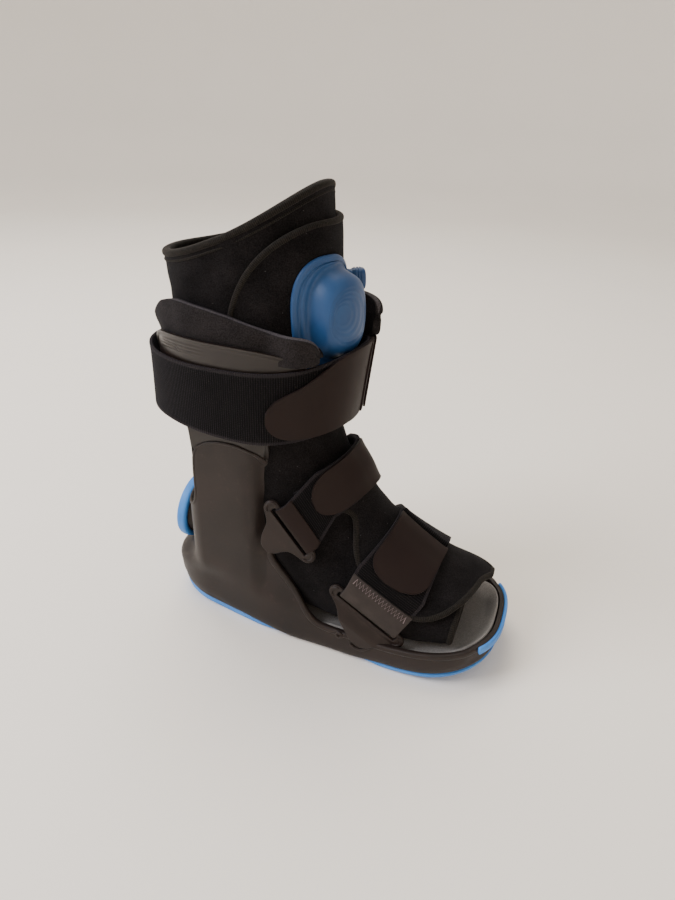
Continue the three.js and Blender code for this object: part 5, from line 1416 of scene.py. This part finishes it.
def make_pump():
    """The squeeze bulb: a wide welded flange and a steep dome that stands nearer to the shin's front."""
    # share of the half sizes, height over the wrap
    rows = [(0, 20.6), (0.12, 20.5), (0.25, 20.1), (0.36, 19.2), (0.44, 17.9), (0.5, 16.0), (0.545, 13.2),
            (0.58, 9.8), (0.61, 6.6), (0.635, 4.3), (0.66, 3.0), (0.69, 2.5), (0.73, 2.9), (0.76, 3.3),
            (0.8, 3.2),
            (0.825, 2.2), (0.85, 2.1), (0.875, 3.1), (0.93, 3.2), (0.975, 2.9), (0.995, 1.9), (1.0, 1.0),
            (0.99, 0.1), (0.9, -0.3), (0.5, -0.3), (0, -0.3)]
    section = spline(np.array(rows) * (38, 1), 110) / (38, 1)
    to_front, crown_spread = 5.5, 1.16

    def place(u, v):
        turn = 2 * math.pi * u
        share, height = section[step_of(v, 109)].T
        on_top = smooth(5, 15, height)
        ridges = 0.25 * np.cos(2 * math.pi * share / 0.07) * within(0.1, 0.14, 0.4, 0.47, share)
        inner = 1 - smooth(0.66, 0.94, share)
        reach = share * mix(1, crown_spread, inner)
        rounder = mix(0.98, 0.8, smooth(0.3, 0.6, share))
        crown_back = 9.5 * (1 - smooth(0.06, 0.56, share))
        across = PUMP_WIDTH / 2 * reach * signed_power(np.cos(turn),
                                                       rounder) - to_front * inner * (height > 0)
        across = across + crown_back
        rise = PUMP_HEIGHT / 2 * reach * signed_power(np.sin(turn), rounder) + 1.5 * inner * (height > 0)
        rise = rise + 0.45 * crown_back
        slope = 1.4 * on_top * across / 20
        return pump_point(across, rise, height + ridges * on_top - slope)

    piece("air_pump", mapped(112, 109, place), PUMP_BLUE, ["pump"], closed=True)


def make_valve():
    """The release valve, an upright oval stud beside the bulb."""
    turn_at, z_at, tall = PUMP_TURN - 44.0, PUMP_Z + 18.0, 1.7
    rows = [(0, -0.2), (6.2, -0.2), (6.4, 1), (5.9, 2), (5.1, 2.8), (4.7, 4.5), (4.6, 7), (5.0, 7.8),
            (5.1, 9),
            (5.1, 15), (4.9, 16.8), (4.2, 17.7), (2.9, 18), (2.2, 17.3), (0, 17.1)]
    section = spline(rows, 44)

    def place(u, v):
        turn = 2 * math.pi * u
        radius, height = section[step_of(v, 43)].T
        round_x, round_z = signed_power(np.cos(turn), 0.75), signed_power(np.sin(turn), 0.75)
        groove = 0.35 * np.cos(2 * math.pi * height / 2.4) * within(8.5, 9.5, 14, 15, height)
        radius = radius + groove
        return leg_point(turn_at + radius * round_x, z_at + tall * radius * round_z,
                         FLAP_OUTER + 0.5 + height)

    piece("air_valve", mapped(72, 43, place), PUMP_BLUE, ["release_valve"],
          closed=True)


make_sole()
make_insole()
make_shell()
make_rim_seats()
make_heel_ring()
make_bootie()
make_shin_wrap()
make_tongue()
make_pad("near")
make_pad("far")
make_calf_plate(NEAR, "near")
make_calf_plate(FAR, "far")
make_calf_strap()
make_foot_strap("instep", (5.78, 8.05, 0), INSTEP_BUCKLE, 42, -12, 51, 0.88, 22, HOOK, 2)
toe_table, toe_lengths, toe_inside, _, _ = make_foot_strap("toe", (10.1, 11.95, 0.35), TOE_BUCKLE, 54, -6,
                                                           53,
                                                           0.86, 29, WEBBING_BACK, 3.8)
zigzag("toe_strap_stitching", toe_table, toe_lengths, 21, 5.6, 16, 2.2 + 1.05, toe_inside)
for place_name, places in (("instep", INSTEP_BUCKLE), ("toe", TOE_BUCKLE)):
    for side_name, side in (("near", NEAR), ("far", FAR)):
        make_buckle("%s_buckle_%s" % (place_name, side_name), places, side)
make_pump()
make_valve()


# Studio


def make_studio():
    bm = bmesh.new()
    outline = [(0, 0), (2.6, 0), (3.2, 0.05), (3.7, 0.3), (4.0, 0.8), (4.1, 1.6), (4.1, 3.2)]
    verts = [bm.verts.new((x, 0, z)) for x, z in outline]
    for a, b in zip(verts, verts[1:]):
        bm.edges.new((a, b))
    bmesh.ops.spin(bm, geom=bm.verts[:] + bm.edges[:], cent=(0, 0, 0), axis=(0, 0, 1), angle=2 * math.pi,
                   steps=64,
                   use_merge=True, use_duplicate=False)
    bmesh.ops.remove_doubles(bm, verts=bm.verts, dist=1e-4)
    bmesh.ops.recalc_face_normals(bm, faces=bm.faces)
    bmesh.ops.reverse_faces(bm, faces=bm.faces)
    new_object("studio_sweep", bm, studio_floor())


def add_light(name, place, aim, size, power, colour):
    data = bpy.data.lights.new(name, "AREA")
    data.shape, data.size, data.energy, data.color = "SQUARE", size, power, linear(colour)[:3]
    light = bpy.data.objects.new(name, data)
    bpy.context.scene.collection.objects.link(light)
    light.location = place
    light.rotation_euler = (Vector(aim) - Vector(place)).to_track_quat("-Z", "Y").to_euler()


make_studio()
add_light("key", (-1.7, -1.1, 1.7), (0, 0, 0.15), 1.3, 68, "#f4f4fa")
add_light("fill", (1.7, -1.5, 0.9), (0, 0, 0.15), 1.8, 9, "#ffe3c8")
add_light("top", (-0.7, 0.8, 2.2), (0, 0, 0.1), 1.4, 36, "#fff6ea")
world = bpy.data.worlds.new("studio")
world.use_nodes = True
world.node_tree.nodes["Background"].inputs["Color"].default_value = linear("#efece8")
world.node_tree.nodes["Background"].inputs["Strength"].default_value = 0.8
bpy.context.scene.world = world

camera_data = bpy.data.cameras.new("camera")
camera_data.lens, camera_data.sensor_width = 26.16, 36
camera = bpy.data.objects.new("camera", camera_data)
bpy.context.scene.collection.objects.link(camera)
forward = Vector((-0.3014, 0.8282, -0.4726)).normalized()
right = Vector((0.933, 0.359, 0.034))
right = (right - forward * right.dot(forward)).normalized()
upward = right.cross(forward)
camera.matrix_world = Matrix(((right.x, upward.x, -forward.x, 0.171),
                              (right.y, upward.y, -forward.y, -0.470),
                              (right.z, upward.z, -forward.z, 0.440), (0, 0, 0, 1)))
bpy.context.scene.camera = camera
